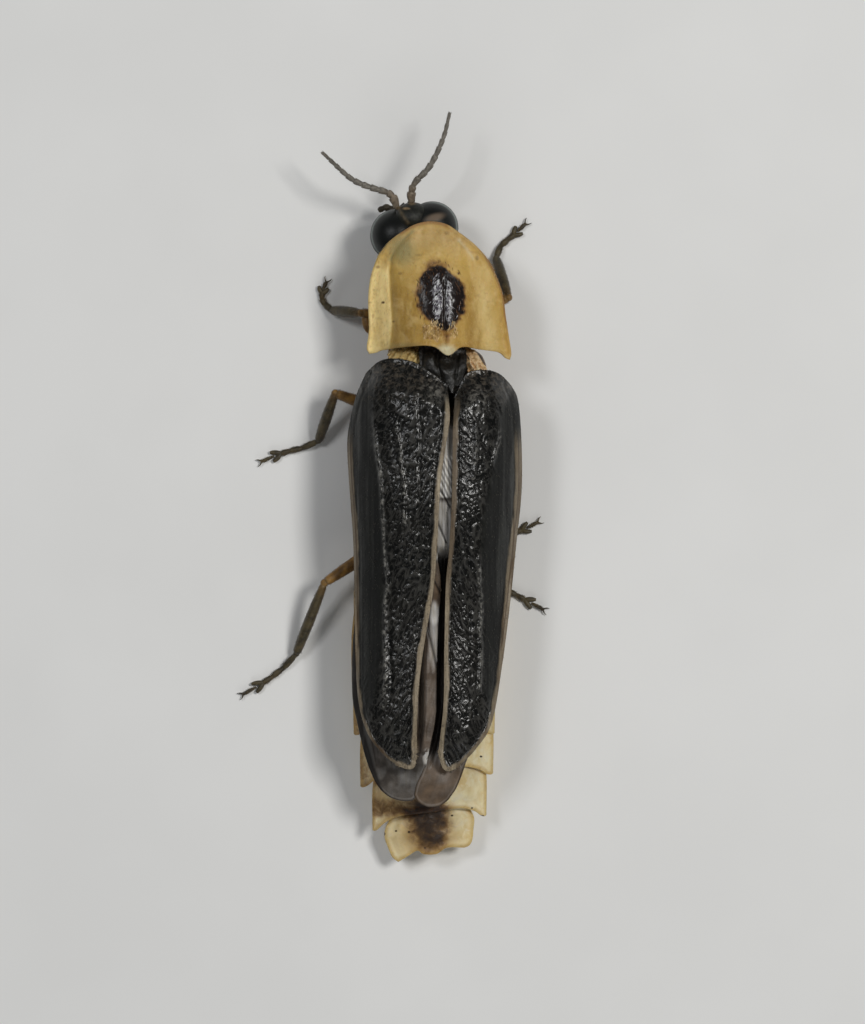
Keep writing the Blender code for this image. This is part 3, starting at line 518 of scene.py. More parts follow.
class Look:
    """A node material: helpers that add nodes to one Principled shader."""

    def __init__(self, name, gleam, roughness=0.5):
        self.material = bpy.data.materials.new(name)
        self.material.use_nodes = True
        self.tree = self.material.node_tree
        self.shader = self.tree.nodes["Principled BSDF"]
        self.place = self.node("TexCoord").outputs["Object"]
        self.set("Specular IOR Level", gleam)
        self.set("Roughness", roughness)

    def node(self, kind, **inputs):
        """A new node, with some of its sockets set or linked."""
        node = self.tree.nodes.new("ShaderNode" + kind)
        for name, value in inputs.items():
            self.feed(node.inputs[name.replace("_", " ")], value)
        return node

    def set(self, socket, value):
        """Set or link one of the shader's sockets."""
        self.feed(self.shader.inputs[socket], value)

    def feed(self, socket, value):
        """Link a socket, or give it a plain value."""
        if isinstance(value, bpy.types.NodeSocket):
            self.tree.links.new(value, socket)
        else:
            socket.default_value = value

    def stretched(self, sizes, turn=0.0):
        """Coordinates in cells of the given sizes in millimetres."""
        scale = [1.0 / (size * MM) for size in sizes]
        node = self.node("Mapping", Vector=self.place, Rotation=(0.0, 0.0, turn), Scale=scale)
        return node.outputs["Vector"]

    def clouds(self, cell, detail=3.0, rough=0.55, sizes=None, turn=0.0, warp=0.0):
        """Noise from 0 to 1 with lumps of a size in millimetres, or one for each axis."""
        place = self.stretched(sizes or (cell, cell, cell), turn)
        node = self.node(
            "TexNoise", Vector=place, Scale=1.0, Detail=detail, Roughness=rough, Distortion=warp
        )
        return node.outputs["Fac"]

    def cells(self, cell):
        """Cells of a size in millimetres."""
        node = self.node("TexVoronoi", Vector=self.stretched((cell, cell, cell)), Scale=1.0)
        return node.outputs["Distance"]

    def mark(self, name):
        """A mark stored on the mesh's points."""
        node = self.node("Attribute")
        node.attribute_name = name
        return node.outputs["Fac"]

    def math(self, operation, a, b):
        """One sum on numbers or sockets."""
        node = self.node("Math")
        node.operation = operation
        self.feed(node.inputs[0], a)
        self.feed(node.inputs[1], b)
        return node.outputs[0]

    def plus(self, a, b):
        """Two values added."""
        return self.math("ADD", a, b)

    def times(self, a, b):
        """Two values multiplied."""
        return self.math("MULTIPLY", a, b)

    def span(self, value, low, high, to_low=0.0, to_high=1.0):
        """A value's range moved to another, clamped."""
        node = self.node("MapRange", Value=value, From_Min=low, From_Max=high, To_Min=to_low, To_Max=to_high)
        node.interpolation_type = "SMOOTHSTEP"
        return node.outputs["Result"]

    def mix(self, amount, a, b):
        """A mix of two colours."""
        node = self.node("Mix")
        node.data_type = "RGBA"
        self.feed(node.inputs[0], amount)
        self.feed(node.inputs[6], a)
        self.feed(node.inputs[7], b)
        return node.outputs[2]

    def tones(self, value, dark, light, low=0.3, high=0.7):
        """Two of the photograph's tones, mixed over a value's range."""
        return self.mix(self.span(value, low, high), tone(*dark), tone(*light))

    def paint(self, colour, mark, shade):
        """A colour with one of the photograph's tones laid on it where a mark is."""
        return self.mix(self.mark(mark), colour, tone(*shade))

    def flesh(self, weight, radius):
        """Let light sink in, by a weight and a distance in millimetres for each colour."""
        self.set("Subsurface Weight", weight)
        self.set("Subsurface Radius", [part * MM for part in radius])
        self.set("Subsurface Scale", 0.5)

    def bump(self, height, depth, strength):
        """Relief from heights of up to a depth in millimetres."""
        node = self.node("Bump", Strength=strength, Distance=depth * MM, Height=height)
        self.set("Normal", node.outputs["Normal"])


def elytron_look():
    """Black wrinkled shell with crests painted pale as highlights, a beige-brown rim and faint lengthwise
    stripes.
    """
    look = Look("elytron_shell", 0.36)
    rim = look.mark("rim")
    stripes = look.clouds(0.1, 4.0, 0.6, sizes=(0.09, 3.0, 1.0), turn=0.03)
    grain = look.clouds(0.05, 5.0, 0.7)
    faded = look.span(look.clouds(0.9, 4.0), 0.35, 0.7)
    black = look.mix(faded, (0.0022, 0.0024, 0.0020, 1.0), (0.0065, 0.0062, 0.0050, 1.0))
    striped = look.span(stripes, 0.42, 0.68)
    band = look.mix(striped, (0.0016, 0.0019, 0.0014, 1.0), (0.009, 0.0095, 0.0075, 1.0))
    # Painted highlight: the wrinkles' crests are painted pale and the valleys are left black.
    colour = look.mix(look.mark("band"), look.mix(look.mark("crest"), black, tone(53, 52, 49)), band)
    mottled = look.span(look.clouds(0.16, 5.0, 0.65, warp=0.5), 0.46, 0.66)
    colour = look.mix(look.times(look.mark("base"), mottled), colour, tone(66, 60, 52))
    # Painted highlight: pale lines along the costae and pale patches at the shoulders.
    colour = look.mix(look.times(look.mark("costa"), mottled), colour, tone(122, 120, 114))
    worn = look.clouds(0.3, 4.0, 0.6, sizes=(0.2, 0.8, 0.6))
    beige = look.tones(stripes, (84, 70, 52), (152, 140, 118))
    beige = look.mix(look.span(worn, 0.35, 0.65), beige, tone(128, 116, 96))
    beige = look.mix(look.times(look.span(grain, 0.45, 0.7), 0.5), beige, tone(52, 44, 34))
    beige = look.paint(beige, "line", (60, 44, 28))
    look.set("Base Color", look.mix(rim, colour, beige))
    look.bump(grain, 0.005, 0.8)
    gloss = look.span(look.clouds(0.3, 3.0), 0.3, 0.7, 0.16, 0.25)
    brushed = look.times(look.mark("band"), look.span(stripes, 0.4, 0.66, 0.44, 0.22))
    dull = look.math("MAXIMUM", look.times(rim, 0.3), brushed)
    look.set("Roughness", look.plus(gloss, dull))
    return look.material


def pronotum_look():
    """Translucent amber shield with a dark spot and paler sides; the left side is painted lighter still as
    painted light, with painted shade of the eye beneath and a painted highlight streak.
    """
    look = Look("pronotum_shell", 0.3)
    look.flesh(0.2, (0.7, 0.4, 0.2))
    cloud = look.clouds(0.8, 4.0)
    fine = look.clouds(0.12, 4.0, 0.65)
    veil = look.clouds(0.35, 3.0, 0.6, sizes=(0.25, 0.6, 0.4))
    amber = look.tones(cloud, (166, 136, 68), (182, 152, 84))
    deep = look.tones(veil, (148, 115, 50), (172, 141, 76))
    pale = look.tones(veil, (188, 162, 102), (200, 177, 122))
    colour = look.mix(look.mark("deep"), amber, deep)
    front = look.tones(veil, (158, 132, 82), (176, 150, 100), 0.35, 0.65)
    colour = look.mix(look.mark("front"), colour, front)
    colour = look.mix(look.mark("pale"), colour, pale)
    # Painted light: the left margin is painted lighter still over its pale tone.
    painted_light_left = look.tones(veil, (206, 180, 118), (222, 198, 138))
    colour = look.mix(look.mark("left"), colour, painted_light_left)
    # A whitish patch at the hind notch, and a painted highlight streak on the front right.
    colour = look.paint(colour, "white", (186, 178, 146))
    haze = look.span(look.clouds(0.5, 4.0, 0.6, warp=0.6), 0.50, 0.74)
    colour = look.mix(look.times(haze, 0.40), colour, tone(204, 180, 128))
    dusk = look.span(look.clouds(0.4, 4.0, 0.6, warp=0.8), 0.52, 0.76)
    colour = look.mix(look.times(dusk, 0.30), colour, tone(128, 92, 44))
    # Painted shade of the eye under the front left, and an olive band at the hind margin.
    colour = look.paint(colour, "green", (116, 112, 76))
    colour = look.paint(colour, "edge", (122, 88, 52))
    ragged = look.times(look.math("SUBTRACT", fine, 0.5), 0.5)
    spot = look.plus(look.mark("spot"), ragged)
    colour = look.mix(look.times(look.span(spot, 0.05, 0.5), 0.75), colour, tone(112, 74, 42))
    colour = look.mix(look.span(spot, 0.35, 0.7), colour, tone(24, 18, 16))
    colour = look.paint(colour, "speck", (70, 44, 22))
    look.set("Base Color", colour)
    look.bump(look.plus(fine, look.times(look.clouds(0.035, 3.0), 0.3)), 0.012, 0.7)
    look.set("Roughness", look.mix(look.mark("spot"), (0.5, 0.5, 0.5, 1.0), (0.2, 0.2, 0.2, 1.0)))
    return look.material


def shell_look(name, cell, roughness, depth, gleam=0.5, soft=0.0, tones=None):
    """A shell with fine grain, in two tones where they are given."""
    look = Look(name, gleam)
    if soft:
        look.flesh(soft, (0.8, 0.5, 0.3))
    cloud = look.clouds(cell, 5.0, 0.65)
    if tones:
        look.set("Base Color", look.tones(cloud, *tones))
    grain = look.clouds(cell * 0.15, 4.0, 0.65)
    look.bump(look.plus(cloud, grain), depth, 0.8)
    look.set("Roughness", look.span(grain, 0.3, 0.7, roughness * 0.8, roughness * 1.25))
    return look


def head_look():
    """Black-green head with brown edges round the sockets."""
    look = shell_look("head_shell", 0.15, 0.44, 0.012, 0.3)
    cloud = look.clouds(0.12, 4.0)
    dark = look.tones(cloud, (13, 14, 11), (34, 35, 29))
    brown = look.tones(cloud, (98, 80, 56), (142, 122, 92))
    look.set("Base Color", look.mix(look.mark("brown"), dark, brown))
    return look.material


def leg_look():
    """Dark grey-brown leg, yellow-brown towards its root."""
    look = shell_look("leg_shell", 0.22, 0.46, 0.010, 0.35)
    cloud = look.clouds(0.25, 3.0)
    look.set("Sheen Weight", 0.25)
    look.set("Sheen Roughness", 0.4)
    brown = look.tones(cloud, (88, 62, 26), (132, 98, 46))
    dark = look.tones(cloud, (42, 37, 24), (74, 65, 43))
    look.set("Base Color", look.mix(look.mark("brown"), dark, brown))
    return look.material


def cream_look():
    """Waxy cream plates with amber rims and brown smudges, with painted shade on their left side and under
    the wing lobes.
    """
    look = Look("abdomen_shell", 0.35)
    look.flesh(0.3, (1.0, 0.7, 0.4))
    cloud = look.clouds(0.6, 4.0)
    fine = look.clouds(0.1, 4.0, 0.65)
    patchy = look.clouds(0.25, 4.0, 0.6, warp=0.5)
    base = look.tones(cloud, (196, 176, 132), (214, 200, 164))
    base = look.mix(look.span(patchy, 0.45, 0.75), base, tone(222, 212, 184))
    amber = look.tones(patchy, (152, 122, 66), (184, 156, 98))
    colour = look.mix(look.times(look.mark("rim"), 0.75), base, amber)
    colour = look.mix(look.times(look.mark("warm"), 0.9), colour, amber)
    uneven = look.times(look.math("SUBTRACT", patchy, 0.5), 0.9)
    # Brown smudges, with painted shade on the left side and under the wing lobes' edge.
    stain_and_shade = look.plus(look.mark("brown"), uneven)
    colour = look.mix(look.span(stain_and_shade, -0.05, 0.75), colour, tone(116, 86, 46))
    colour = look.mix(look.span(stain_and_shade, 0.30, 1.05), colour, tone(40, 27, 16))
    colour = look.mix(look.span(look.mark("speck"), 0.3, 0.7), colour, tone(52, 38, 22))
    look.set("Base Color", colour)
    look.bump(look.plus(fine, look.times(patchy, 1.5)), 0.02, 0.7)
    look.set("Roughness", look.span(fine, 0.3, 0.7, 0.34, 0.52))
    return look.material


def wing_look():
    """Smoky folded membrane, lighter where it is creased, with dark veins, painted shade in the gap's creases
    and hollow, and painted highlights.
    """
    look = Look("wing_membrane", 0.35, 0.42)
    cloud = look.clouds(0.7, 4.0)
    streak = look.clouds(0.2, 4.0, 0.6, sizes=(0.06, 0.7, 0.3), turn=-0.2)
    smoke = look.tones(cloud, (54, 49, 44), (84, 78, 72), 0.35, 0.65)
    brown = look.tones(cloud, (70, 56, 42), (98, 80, 62), 0.35, 0.65)
    pale = look.tones(streak, (206, 200, 186), (248, 246, 238), 0.32, 0.68)
    colour = look.mix(look.mark("brown"), smoke, brown)
    streaks = look.times(look.span(streak, 0.5, 0.8), look.math("SUBTRACT", 0.25, look.mark("calm")))
    colour = look.mix(streaks, colour, tone(112, 104, 96))
    # The pale mark carries the pale folds, and also painted highlights at the wing tips and on the lobes.
    colour = look.mix(look.mark("pale"), colour, pale)
    # The dark mark carries painted shade along the creases and in the hollow between the wing cases.
    colour = look.paint(colour, "dark", (18, 14, 11))
    colour = look.paint(colour, "vein", (34, 27, 22))
    look.set("Base Color", colour)
    wavy = look.times(streak, look.math("SUBTRACT", 1.0, look.times(look.mark("calm"), 3.6)))
    look.bump(look.plus(wavy, look.clouds(0.05, 3.0)), 0.012, 0.6)
    return look.material


def hair_look(name, dark, light, roughness=0.35, cell=0.3):
    """Fine hairs."""
    look = Look(name, 0.6, roughness)
    look.set("Base Color", look.tones(look.clouds(cell, 2.0), dark, light, 0.35, 0.65))
    return look.material


def feeler_look():
    """Grey-brown feelers, browner at their roots."""
    look = shell_look("feeler_shell", 0.1, 0.55, 0.010)
    cloud = look.clouds(0.1, 4.0)
    grey = look.tones(cloud, (74, 70, 62), (112, 107, 98))
    brown = look.tones(cloud, (84, 70, 54), (124, 106, 84))
    look.set("Base Color", look.mix(look.mark("brown"), grey, brown))
    return look.material


# Wing cases

COVER_CREST = (4.55, 4.00)
COVER_EDGE = (2.75, 3.05)
COVER_HALF_WIDTH = (2.85, 2.30)
COVER_POWER = 3.5


def along_body(pair, y):
    """A size that changes smoothly from the front of the wing cases to their rear."""
    return blend(pair[0], pair[1], ease(y, 0.0, 5.0))


def cover_height(x, y):
    """The wing cases' common outer surface."""
    share = np.minimum(np.abs(x - axis_x(y)) / along_body(COVER_HALF_WIDTH, y), 1.05)
    drop = along_body(COVER_CREST, y) - along_body(COVER_EDGE, y)
    return along_body(COVER_CREST, y) - drop * share ** COVER_POWER


ELYTRON_ROWS = 500
ELYTRON_COLUMNS = 110
ELYTRON_THICKNESS = 0.13
ELYTRON_HAIRS = 2400
WRINKLE_DEPTH = 0.029
WRINKLE_TURN = math.radians(24.0)
COARSE_NET = (0.11, 0.24, 0.4)
FINE_NET = (0.09, 0.13, 0.3)

# Raised costae, painted pale as highlights, dark grooves and the wrinkles' outer limit, in the photograph's
# pixels
COSTAE = {
    "left": (
        ((372, 398), (374, 440), (379, 470), (382, 500), (386, 560), (386, 640), (383, 705)),
        ((395, 425), (400, 450), (403, 480), (404, 525)),
    ),
    "right": (
        ((474, 420), (475, 450), (473, 478)),
        ((498, 420), (499, 436), (494, 462)),
        ((478, 560), (480, 600), (481, 640), (479, 690)),
    ),
}
GROOVES = {
    "left": (((419, 398), (421, 430), (420, 470), (419, 530)), ((390, 560), (391, 640), (389, 700))),
    "right": (((468, 520), (469, 580), (470, 640)),),
}
WRINKLED_TO = {
    "left": ((372, 380), (373, 430), (378, 470), (382, 500), (386, 560), (383, 640), (376, 690), (362, 725)),
    "right": ((512, 380), (500, 420), (497, 445), (490, 480), (482, 520), (483, 640), (484, 690), (502, 730)),
}

# Width of each case's outer rim
OUTER_RIM = {"left": 0.16, "right": 0.22}


def elytron(side, inner, outer, front, rear, material, hair):
    """One wing case: plate, costae, wrinkles, rims and its coat of short hairs."""
    sign = 1.0 if side == "left" else -1.0
    number = 1 if side == "left" else 2
    plan = patch(inner, outer, front, rear, ELYTRON_ROWS, ELYTRON_COLUMNS)
    s, _ = shares(ELYTRON_ROWS, ELYTRON_COLUMNS)
    ground = raised(plan)
    z = cover_height(plan[..., 0], plan[..., 1])
    z = z - 0.55 * (1.0 - ease(s, 0.0, 0.09)) - 0.35 * ease(s, 0.86, 1.0)
    points = raised(plan, z)
    u, v = seen(points)
    wander = 2.2 * noise(ground, (0.6, 0.8, 1.0), 3)
    inner_far = distance_to(plan, plan[:, 0])
    outer_far = distance_to(plan, plan[:, -1])
    rear_far = distance_to(plan, plan[-1])
    wide = OUTER_RIM[side] * (1.0 - 0.45 * ease(v, 560, 700))
    frayed = 0.03 * layered(ground, (0.12, 0.5, 1.0), 2, 18)
    inner_rim = (1.0 - ease(inner_far + frayed, 0.115, 0.185)) * ease(v, 392, 412)
    outer_rim = (1.0 - ease(outer_far + frayed, wide - 0.04, wide + 0.04)) * ease(v, 425, 460)
    rear_rim = 1.0 - ease(rear_far + frayed, 0.12, 0.20)
    rim = np.maximum(np.maximum(inner_rim, outer_rim), rear_rim)
    limit = trace(WRINKLED_TO[side], v) + wander
    band = ease(sign * (limit - u), -4.0, 6.0)
    base = 1.0 - ease(v, 376, 412)
    line = ridge(outer_far, 0.11, 0.025) * between(v, 440, 640, 20)
    line = np.maximum(line, 0.9 * blot(u, v, (380, 748), (20, 13), 0.9))
    line = np.maximum(line + 0.5 * ridge(outer_far, 0.26, 0.03) * ease(v, 560, 600), 0.35 * outer_rim)
    if side == "right":
        line = np.maximum(line, 0.6 * (inner_far < 0.3) * (1.0 - ease(v, 560, 620)))
    run = strokes(u + wander, v, COSTAE[side], 1.7)
    cut = strokes(u + wander, v, GROOVES[side], 1.8)
    z = z + 0.060 * run * ease(v, 405, 440) - 0.045 * cut
    z = z + 0.035 * ridge(inner_far, 0.10, 0.09) * ease(v, 392, 412)
    z = z - 0.030 * ridge(inner_far, 0.25, 0.035) + 0.030 * ridge(outer_far, wide / 2, 0.08)
    z = z - 0.030 * ridge(outer_far, wide + 0.05, 0.04) + 0.035 * ridge(rear_far, 0.11, 0.09)
    swung = turned(points, sign * WRINKLE_TURN)
    swung = swung + 0.02 * noise(points, 0.2, 10 + number)[..., None]
    wrinkle = np.maximum(net(swung, COARSE_NET, 11, 2.3), 0.65 * net(swung, FINE_NET, 12, 2.6))
    wrinkle = wrinkle * wrinkle * (3.0 - 2.0 * wrinkle) * (0.85 + 0.35 * noise(points, 0.45, 13))
    stripes = noise(ground, (0.09, 2.4, 1.0), 15) + 0.5 * noise(ground, (0.045, 1.2, 1.0), 16)
    calm = np.maximum(rim, np.maximum((0.62 if side == "right" else 0.85) * band, 0.45 * base))
    fine = layered(points, 0.09, 2, 17)
    granular = between(outer_far, wide, wide + 0.22, 0.08) * ease(v, 580, 640)
    z = z + WRINKLE_DEPTH * wrinkle * np.clip(1.0 - calm + 0.5 * granular, 0.0, 1.0)
    z = z + 0.008 * stripes * np.maximum(band, 0.6 * rim) + 0.008 * fine * (0.15 + 0.5 * base)
    points[..., 2] = z + 0.02 * noise(points, (0.5, 1.6, 1.0), 14)
    # Painted highlights: pale patches at both shoulders and along the costae.
    shoulder_highlights = 0.45 * blot(u, v, (432, 392), (10, 12), 0.6) + 0.45 * blot(u, v, (477, 402), (9, 14), 0.6)
    costa = np.clip(0.9 * run * ease(v, 420, 450) + shoulder_highlights, 0.0, 1.0)
    # Painted highlight: thin pale lines along the wrinkles' crests, kept off the calm parts.
    crest = np.maximum(net(swung, COARSE_NET, 11, 5.5), 0.7 * net(swung, FINE_NET, 12, 6.0))
    crest = crest * (1.0 - np.clip(calm, 0.0, 1.0))
    marks = {"rim": rim, "band": band, "base": base, "line": line, "crest": crest, "costa": costa}
    shape = Shape()
    normal = add_sheet(shape, points, ELYTRON_THICKNESS, **marks)
    shape.build("elytron_shell_" + side, material, "black_shell", "elytron_" + side)
    roots, up, places = scatter(points, normal, ELYTRON_HAIRS, number)
    drift = np.broadcast_to([0.2 * sign, 1.0, 0.0], roots.shape)
    name = "elytron_hair_" + side
    hair_piece(name, hair, roots, drift, up, ELYTRON_HAIR, places, number)


def elytra():
    """Both wing cases."""
    material = elytron_look()
    hair = hair_look("elytron_hair", (46, 42, 36), (92, 88, 78))
    inner = [(-1.88, -3.35), (-1.95, -2.2), (-1.80, -1.2), (-1.64, 0.0), (-1.53, 2.1)]
    inner += [(-1.40, 3.5), (-1.13, 5.1), (-0.93, 6.6), (-0.87, 8.1), (-0.85, 8.85)]
    outer = [(0.83, -3.75), (1.15, -3.0), (1.37, -2.1), (1.45, -1.4), (1.40, -0.3)]
    outer += [(1.24, 2.0), (1.20, 4.5), (1.10, 6.9), (0.80, 8.1), (0.30, 8.8), (-0.25, 9.25)]
    front = [inner[0], (-1.25, -3.80), (-0.75, -4.10), (-0.10, -4.22), (0.40, -4.12), outer[0]]
    rear = [inner[-1], (-0.80, 9.25), (-0.60, 9.35), outer[-1]]
    elytron("left", inner, outer, front, rear, material, hair)
    inner = [(-2.12, -2.95), (-2.06, -1.9), (-2.04, -0.2), (-2.01, 0.8), (-1.93, 2.1)]
    inner += [(-1.82, 3.4), (-1.77, 5.4), (-1.75, 7.1), (-1.64, 8.25), (-1.57, 8.85)]
    outer = [(-4.00, -3.35), (-4.20, -2.95), (-4.30, -2.2), (-4.36, -0.8), (-4.33, 0.4)]
    outer += [(-4.16, 2.0), (-3.98, 3.7), (-3.70, 5.9), (-3.35, 7.8), (-2.80, 8.7), (-2.20, 9.3)]
    front = [inner[0], (-2.50, -3.70), (-3.10, -3.84), (-3.60, -3.72), outer[0]]
    rear = [inner[-1], (-1.72, 9.30), (-1.92, 9.42), outer[-1]]
    elytron("right", inner, outer, front, rear, material, hair)


# Hind wings

WING_CREST = (3.75, 3.20)
WING_DROP = 1.2
WING_REACH = 2.4
WING_ROWS = 420
WING_COLUMNS = 90
MEMBRANE_THICKNESS = 0.05

# Creases in the gap between the wing cases, darkened as painted shade, in the photograph's pixels
CREASES = (
    ((437, 486), (444, 496), (450, 507)),
    ((434, 515), (440, 528), (446, 542)),
    ((428, 565), (434, 580), (440, 592)),
    ((427, 624), (432, 645), (438, 672)),
)


def gap_folds(points, u, v):
    """The folds in the gap: how pale, brown and dark each place is, with painted shade along the creases and
    a painted highlight at the wing tips, and its rise.
    """
    lines = 0.5 + 0.5 * np.sin((u * 0.80 - v * 0.42) * 2.0 * math.pi / 3.4 + 1.2 * noise(points, 0.3, 24))
    streaked = between(v, 458, 496, 3) * between(u, 432, 458, 3)
    pale = 0.95 * streaked * (1.0 - 0.75 * lines)
    pale = pale + 0.45 * between(v, 428, 455, 4) * between(u, 434, 458, 3)
    pale = pale + 0.38 * between(v, 504, 556, 5) * between(u, 430, 456, 3)
    pale = pale + 0.50 * blot(u, v, (434, 613), (5, 11)) + 0.26 * blot(u, v, (434, 642), (5, 24))
    # Painted highlight: small pale glints at the wing tips between the cases.
    pale = pale + 0.55 * blot(u, v, (427, 757), (4, 8)) * (layered(points, 0.15, 2, 25) > -0.1)
    brown = 0.5 * between(u, 415, 434, 4) * between(v, 640, 745, 12) + 0.8 * between(v, 565, 604, 5)
    rise = 0.02 * streaked * (1.0 - lines)
    dark = 0.0 * u
    for route in CREASES:
        # Painted shade: each crease is darkened along its line.
        crease = stroke(u, v, route, 1.1, 3.0)
        dark = np.maximum(dark, crease)
        step = ease(trace(route, v) - u, -2.0, 3.0) * between(v, route[0][1], route[-1][1], 8)
        rise = rise - 0.05 * crease + 0.05 * step
    return pale, brown, dark, rise


def hind_wing(side, inner, outer, front, rear, pleats, material):
    """One folded hind wing: a pleated membrane with its main veins raised."""
    plan = patch(inner, outer, front, rear, WING_ROWS, WING_COLUMNS)
    s, t = shares(WING_ROWS, WING_COLUMNS)
    x, y = plan[..., 0], plan[..., 1]
    ground = raised(plan)
    z = along_body(WING_CREST, y) - WING_DROP * (np.abs(x - axis_x(y)) / WING_REACH) ** 2
    points = raised(plan, z)
    u, v = seen(points)
    lobe = ease(v, 752, 775)
    vein = np.zeros_like(z)
    wave = t + 0.02 * noise(ground, (1.0, 2.5, 1.0), 21)
    for centre, slant in pleats:
        place = centre + slant * (s - 0.5)
        z = z + (0.06 * ridge(wave, place, 0.05) - 0.04 * ridge(wave, place + 0.09, 0.04)) * (1 - lobe)
        vein = np.maximum(vein, ridge(wave, place, 0.010) * (1.0 - 0.9 * lobe))
    z = z + 0.03 * (1.0 - lobe) * layered(ground, (0.25, 0.9, 1.0), 3, 22)
    z = z + 0.10 * lobe * noise(ground, (0.9, 0.7, 1.0), 26)
    edge = distance_to(plan, rim_of(plan))
    z = z + 0.08 * lobe * blot(u, v, (394, 786), (14, 12), 0.9)
    z = z + 0.08 * lobe * blot(u, v, (440, 784), (16, 14), 0.9)
    pale, brown, dark, rise = gap_folds(points, u, v)
    if side == "left":
        z = z - 0.10 * lobe + rise + 0.34 * between(u, 425, 450, 6) * between(v, 560, 740, 20)
        dark = np.maximum(dark, 0.9 * ease(t, 0.80, 0.90) * between(v, 600, 790, 15))
    else:
        lit = 1.0 - ease(v, 545, 570)
        z = z + rise * lit + 0.50 * between(u, 435, 455, 4) * between(v, 430, 545, 15) - 0.08 * (1.0 - lit)
        pale = pale * lit
        brown = brown * lit + 0.85 * lobe
        # Painted shadow: the dark hollow between the wing cases below the lit folds.
        painted_gap_shadow = between(v, 560, 750, 10)
        dark = np.maximum(dark * lit, np.maximum(0.85 * painted_gap_shadow, 0.7 * ease(t, 0.86, 0.96) * lobe))
    points[..., 2] = z
    dark = np.maximum(dark, 0.6 * lobe * (1.0 - ease(edge, 0.01, 0.05)))
    # Painted highlight: pale patches over the lobes, stronger on the left lobe; a pale line runs near each
    # lobe's edge.
    highlight_strength = 0.12 if side == "left" else 0.04
    lobe_highlights = highlight_strength * np.clip(layered(points, 0.4, 3, 27) + 0.1, 0.0, 1.0)
    pale = pale + lobe * (lobe_highlights + 0.08 * ridge(edge, 0.075, 0.02))
    marks = {"vein": vein * 0.8, "pale": pale, "brown": brown, "dark": dark, "calm": 0.25 * lobe}
    shape = Shape()
    add_sheet(shape, points, MEMBRANE_THICKNESS, **clipped(marks))
    shape.build("hindwing_membrane_" + side, material, "membrane", "hindwing_" + side)


def hind_wings():
    """Both folded hind wings, with their tips past the wing cases."""
    material = wing_look()
    inner = [(-1.50, -2.2), (-1.50, 1.0), (-1.56, 2.4), (-1.66, 3.2), (-1.58, 4.5), (-1.52, 6.0)]
    inner += [(-1.50, 7.5), (-1.30, 8.6), (-1.16, 9.3), (-0.98, 9.9), (-0.80, 10.34)]
    outer = [(-0.20, -2.2), (0.10, 0.0), (0.75, 2.2), (1.22, 4.6), (1.30, 6.8)]
    outer += [(1.12, 7.9), (0.85, 9.0), (0.56, 9.75), (0.34, 10.08)]
    front = [inner[0], (-0.85, -2.35), outer[0]]
    rear = [inner[-1], (-0.66, 10.42), (-0.30, 10.42), (0.06, 10.30), outer[-1]]
    pleats = ((0.10, 0.10), (0.26, -0.08), (0.42, 0.14), (0.60, -0.12), (0.80, 0.05))
    hind_wing("left", inner, outer, front, rear, pleats, material)
    inner = [(-1.54, -2.2), (-1.54, 1.0), (-1.54, 4.5), (-1.48, 7.5), (-1.12, 9.2)]
    inner += [(-0.86, 9.85), (-0.77, 10.22)]
    outer = [(-2.75, -2.2), (-3.00, 0.0), (-3.30, 2.2), (-3.20, 4.6), (-2.98, 6.8)]
    outer += [(-2.75, 8.2), (-2.45, 9.3), (-2.20, 9.95), (-2.02, 10.24)]
    front = [inner[0], (-2.20, -2.35), outer[0]]
    rear = [inner[-1], (-0.92, 10.46), (-1.22, 10.62), (-1.58, 10.60), (-1.86, 10.44), outer[-1]]
    pleats = ((0.14, -0.10), (0.32, 0.12), (0.50, -0.10), (0.70, 0.08), (0.88, 0.0))
    hind_wing("right", inner, outer, front, rear, pleats, material)


# Pronotum

PRONOTUM_CREST = (3.85, 4.30)
PRONOTUM_DROP = (0.35, 1.50)
PRONOTUM_AXIS_FRONT = (-1.33, -8.86)
PRONOTUM_AXIS_REAR = (-1.60, -4.40)
PRONOTUM_HALF_WIDTH = 2.36
PRONOTUM_FRONT_Y = -8.86
PRONOTUM_LENGTH = 4.3
PRONOTUM_SIZE = 190
PRONOTUM_HAIRS = 1800
SPOT_HAIRS = 15000

# The dark spot, specks and the left margin's inner line, in the photograph's pixels
SPOT = (443, 297)
SPOT_LEFT = ((436, 262), (421, 278), (419, 295), (424, 314), (434, 324), (446, 334))
SPOT_RIGHT = ((438, 262), (459, 280), (463.5, 296), (463, 312), (458, 322), (449, 334))
SPECKS = (
    (383, 302.5, 1.6, 1.2, 1.0), (458.5, 273.5, 1.2, 1.3, 0.9), (430, 269.5, 2.6, 1.1, 1.0),
    (378, 267, 2.2, 1.4, 0.55), (393.5, 321.5, 1.4, 1.0, 0.6), (373, 316, 1.3, 2.2, 0.4),
    (400, 273.5, 2.0, 1.6, 0.4), (477, 258, 1.8, 2.4, 0.45), (419, 255, 3.5, 1.3, 0.3),
    (370, 302.5, 1.8, 0.9, 0.4), (447, 233, 2.6, 2.0, 0.25), (413, 292, 2.0, 1.5, 0.2),
)
FLANGE_LINE = ((404, 238), (397, 247), (391, 258), (390, 272), (391.5, 300), (393, 325), (391, 343))


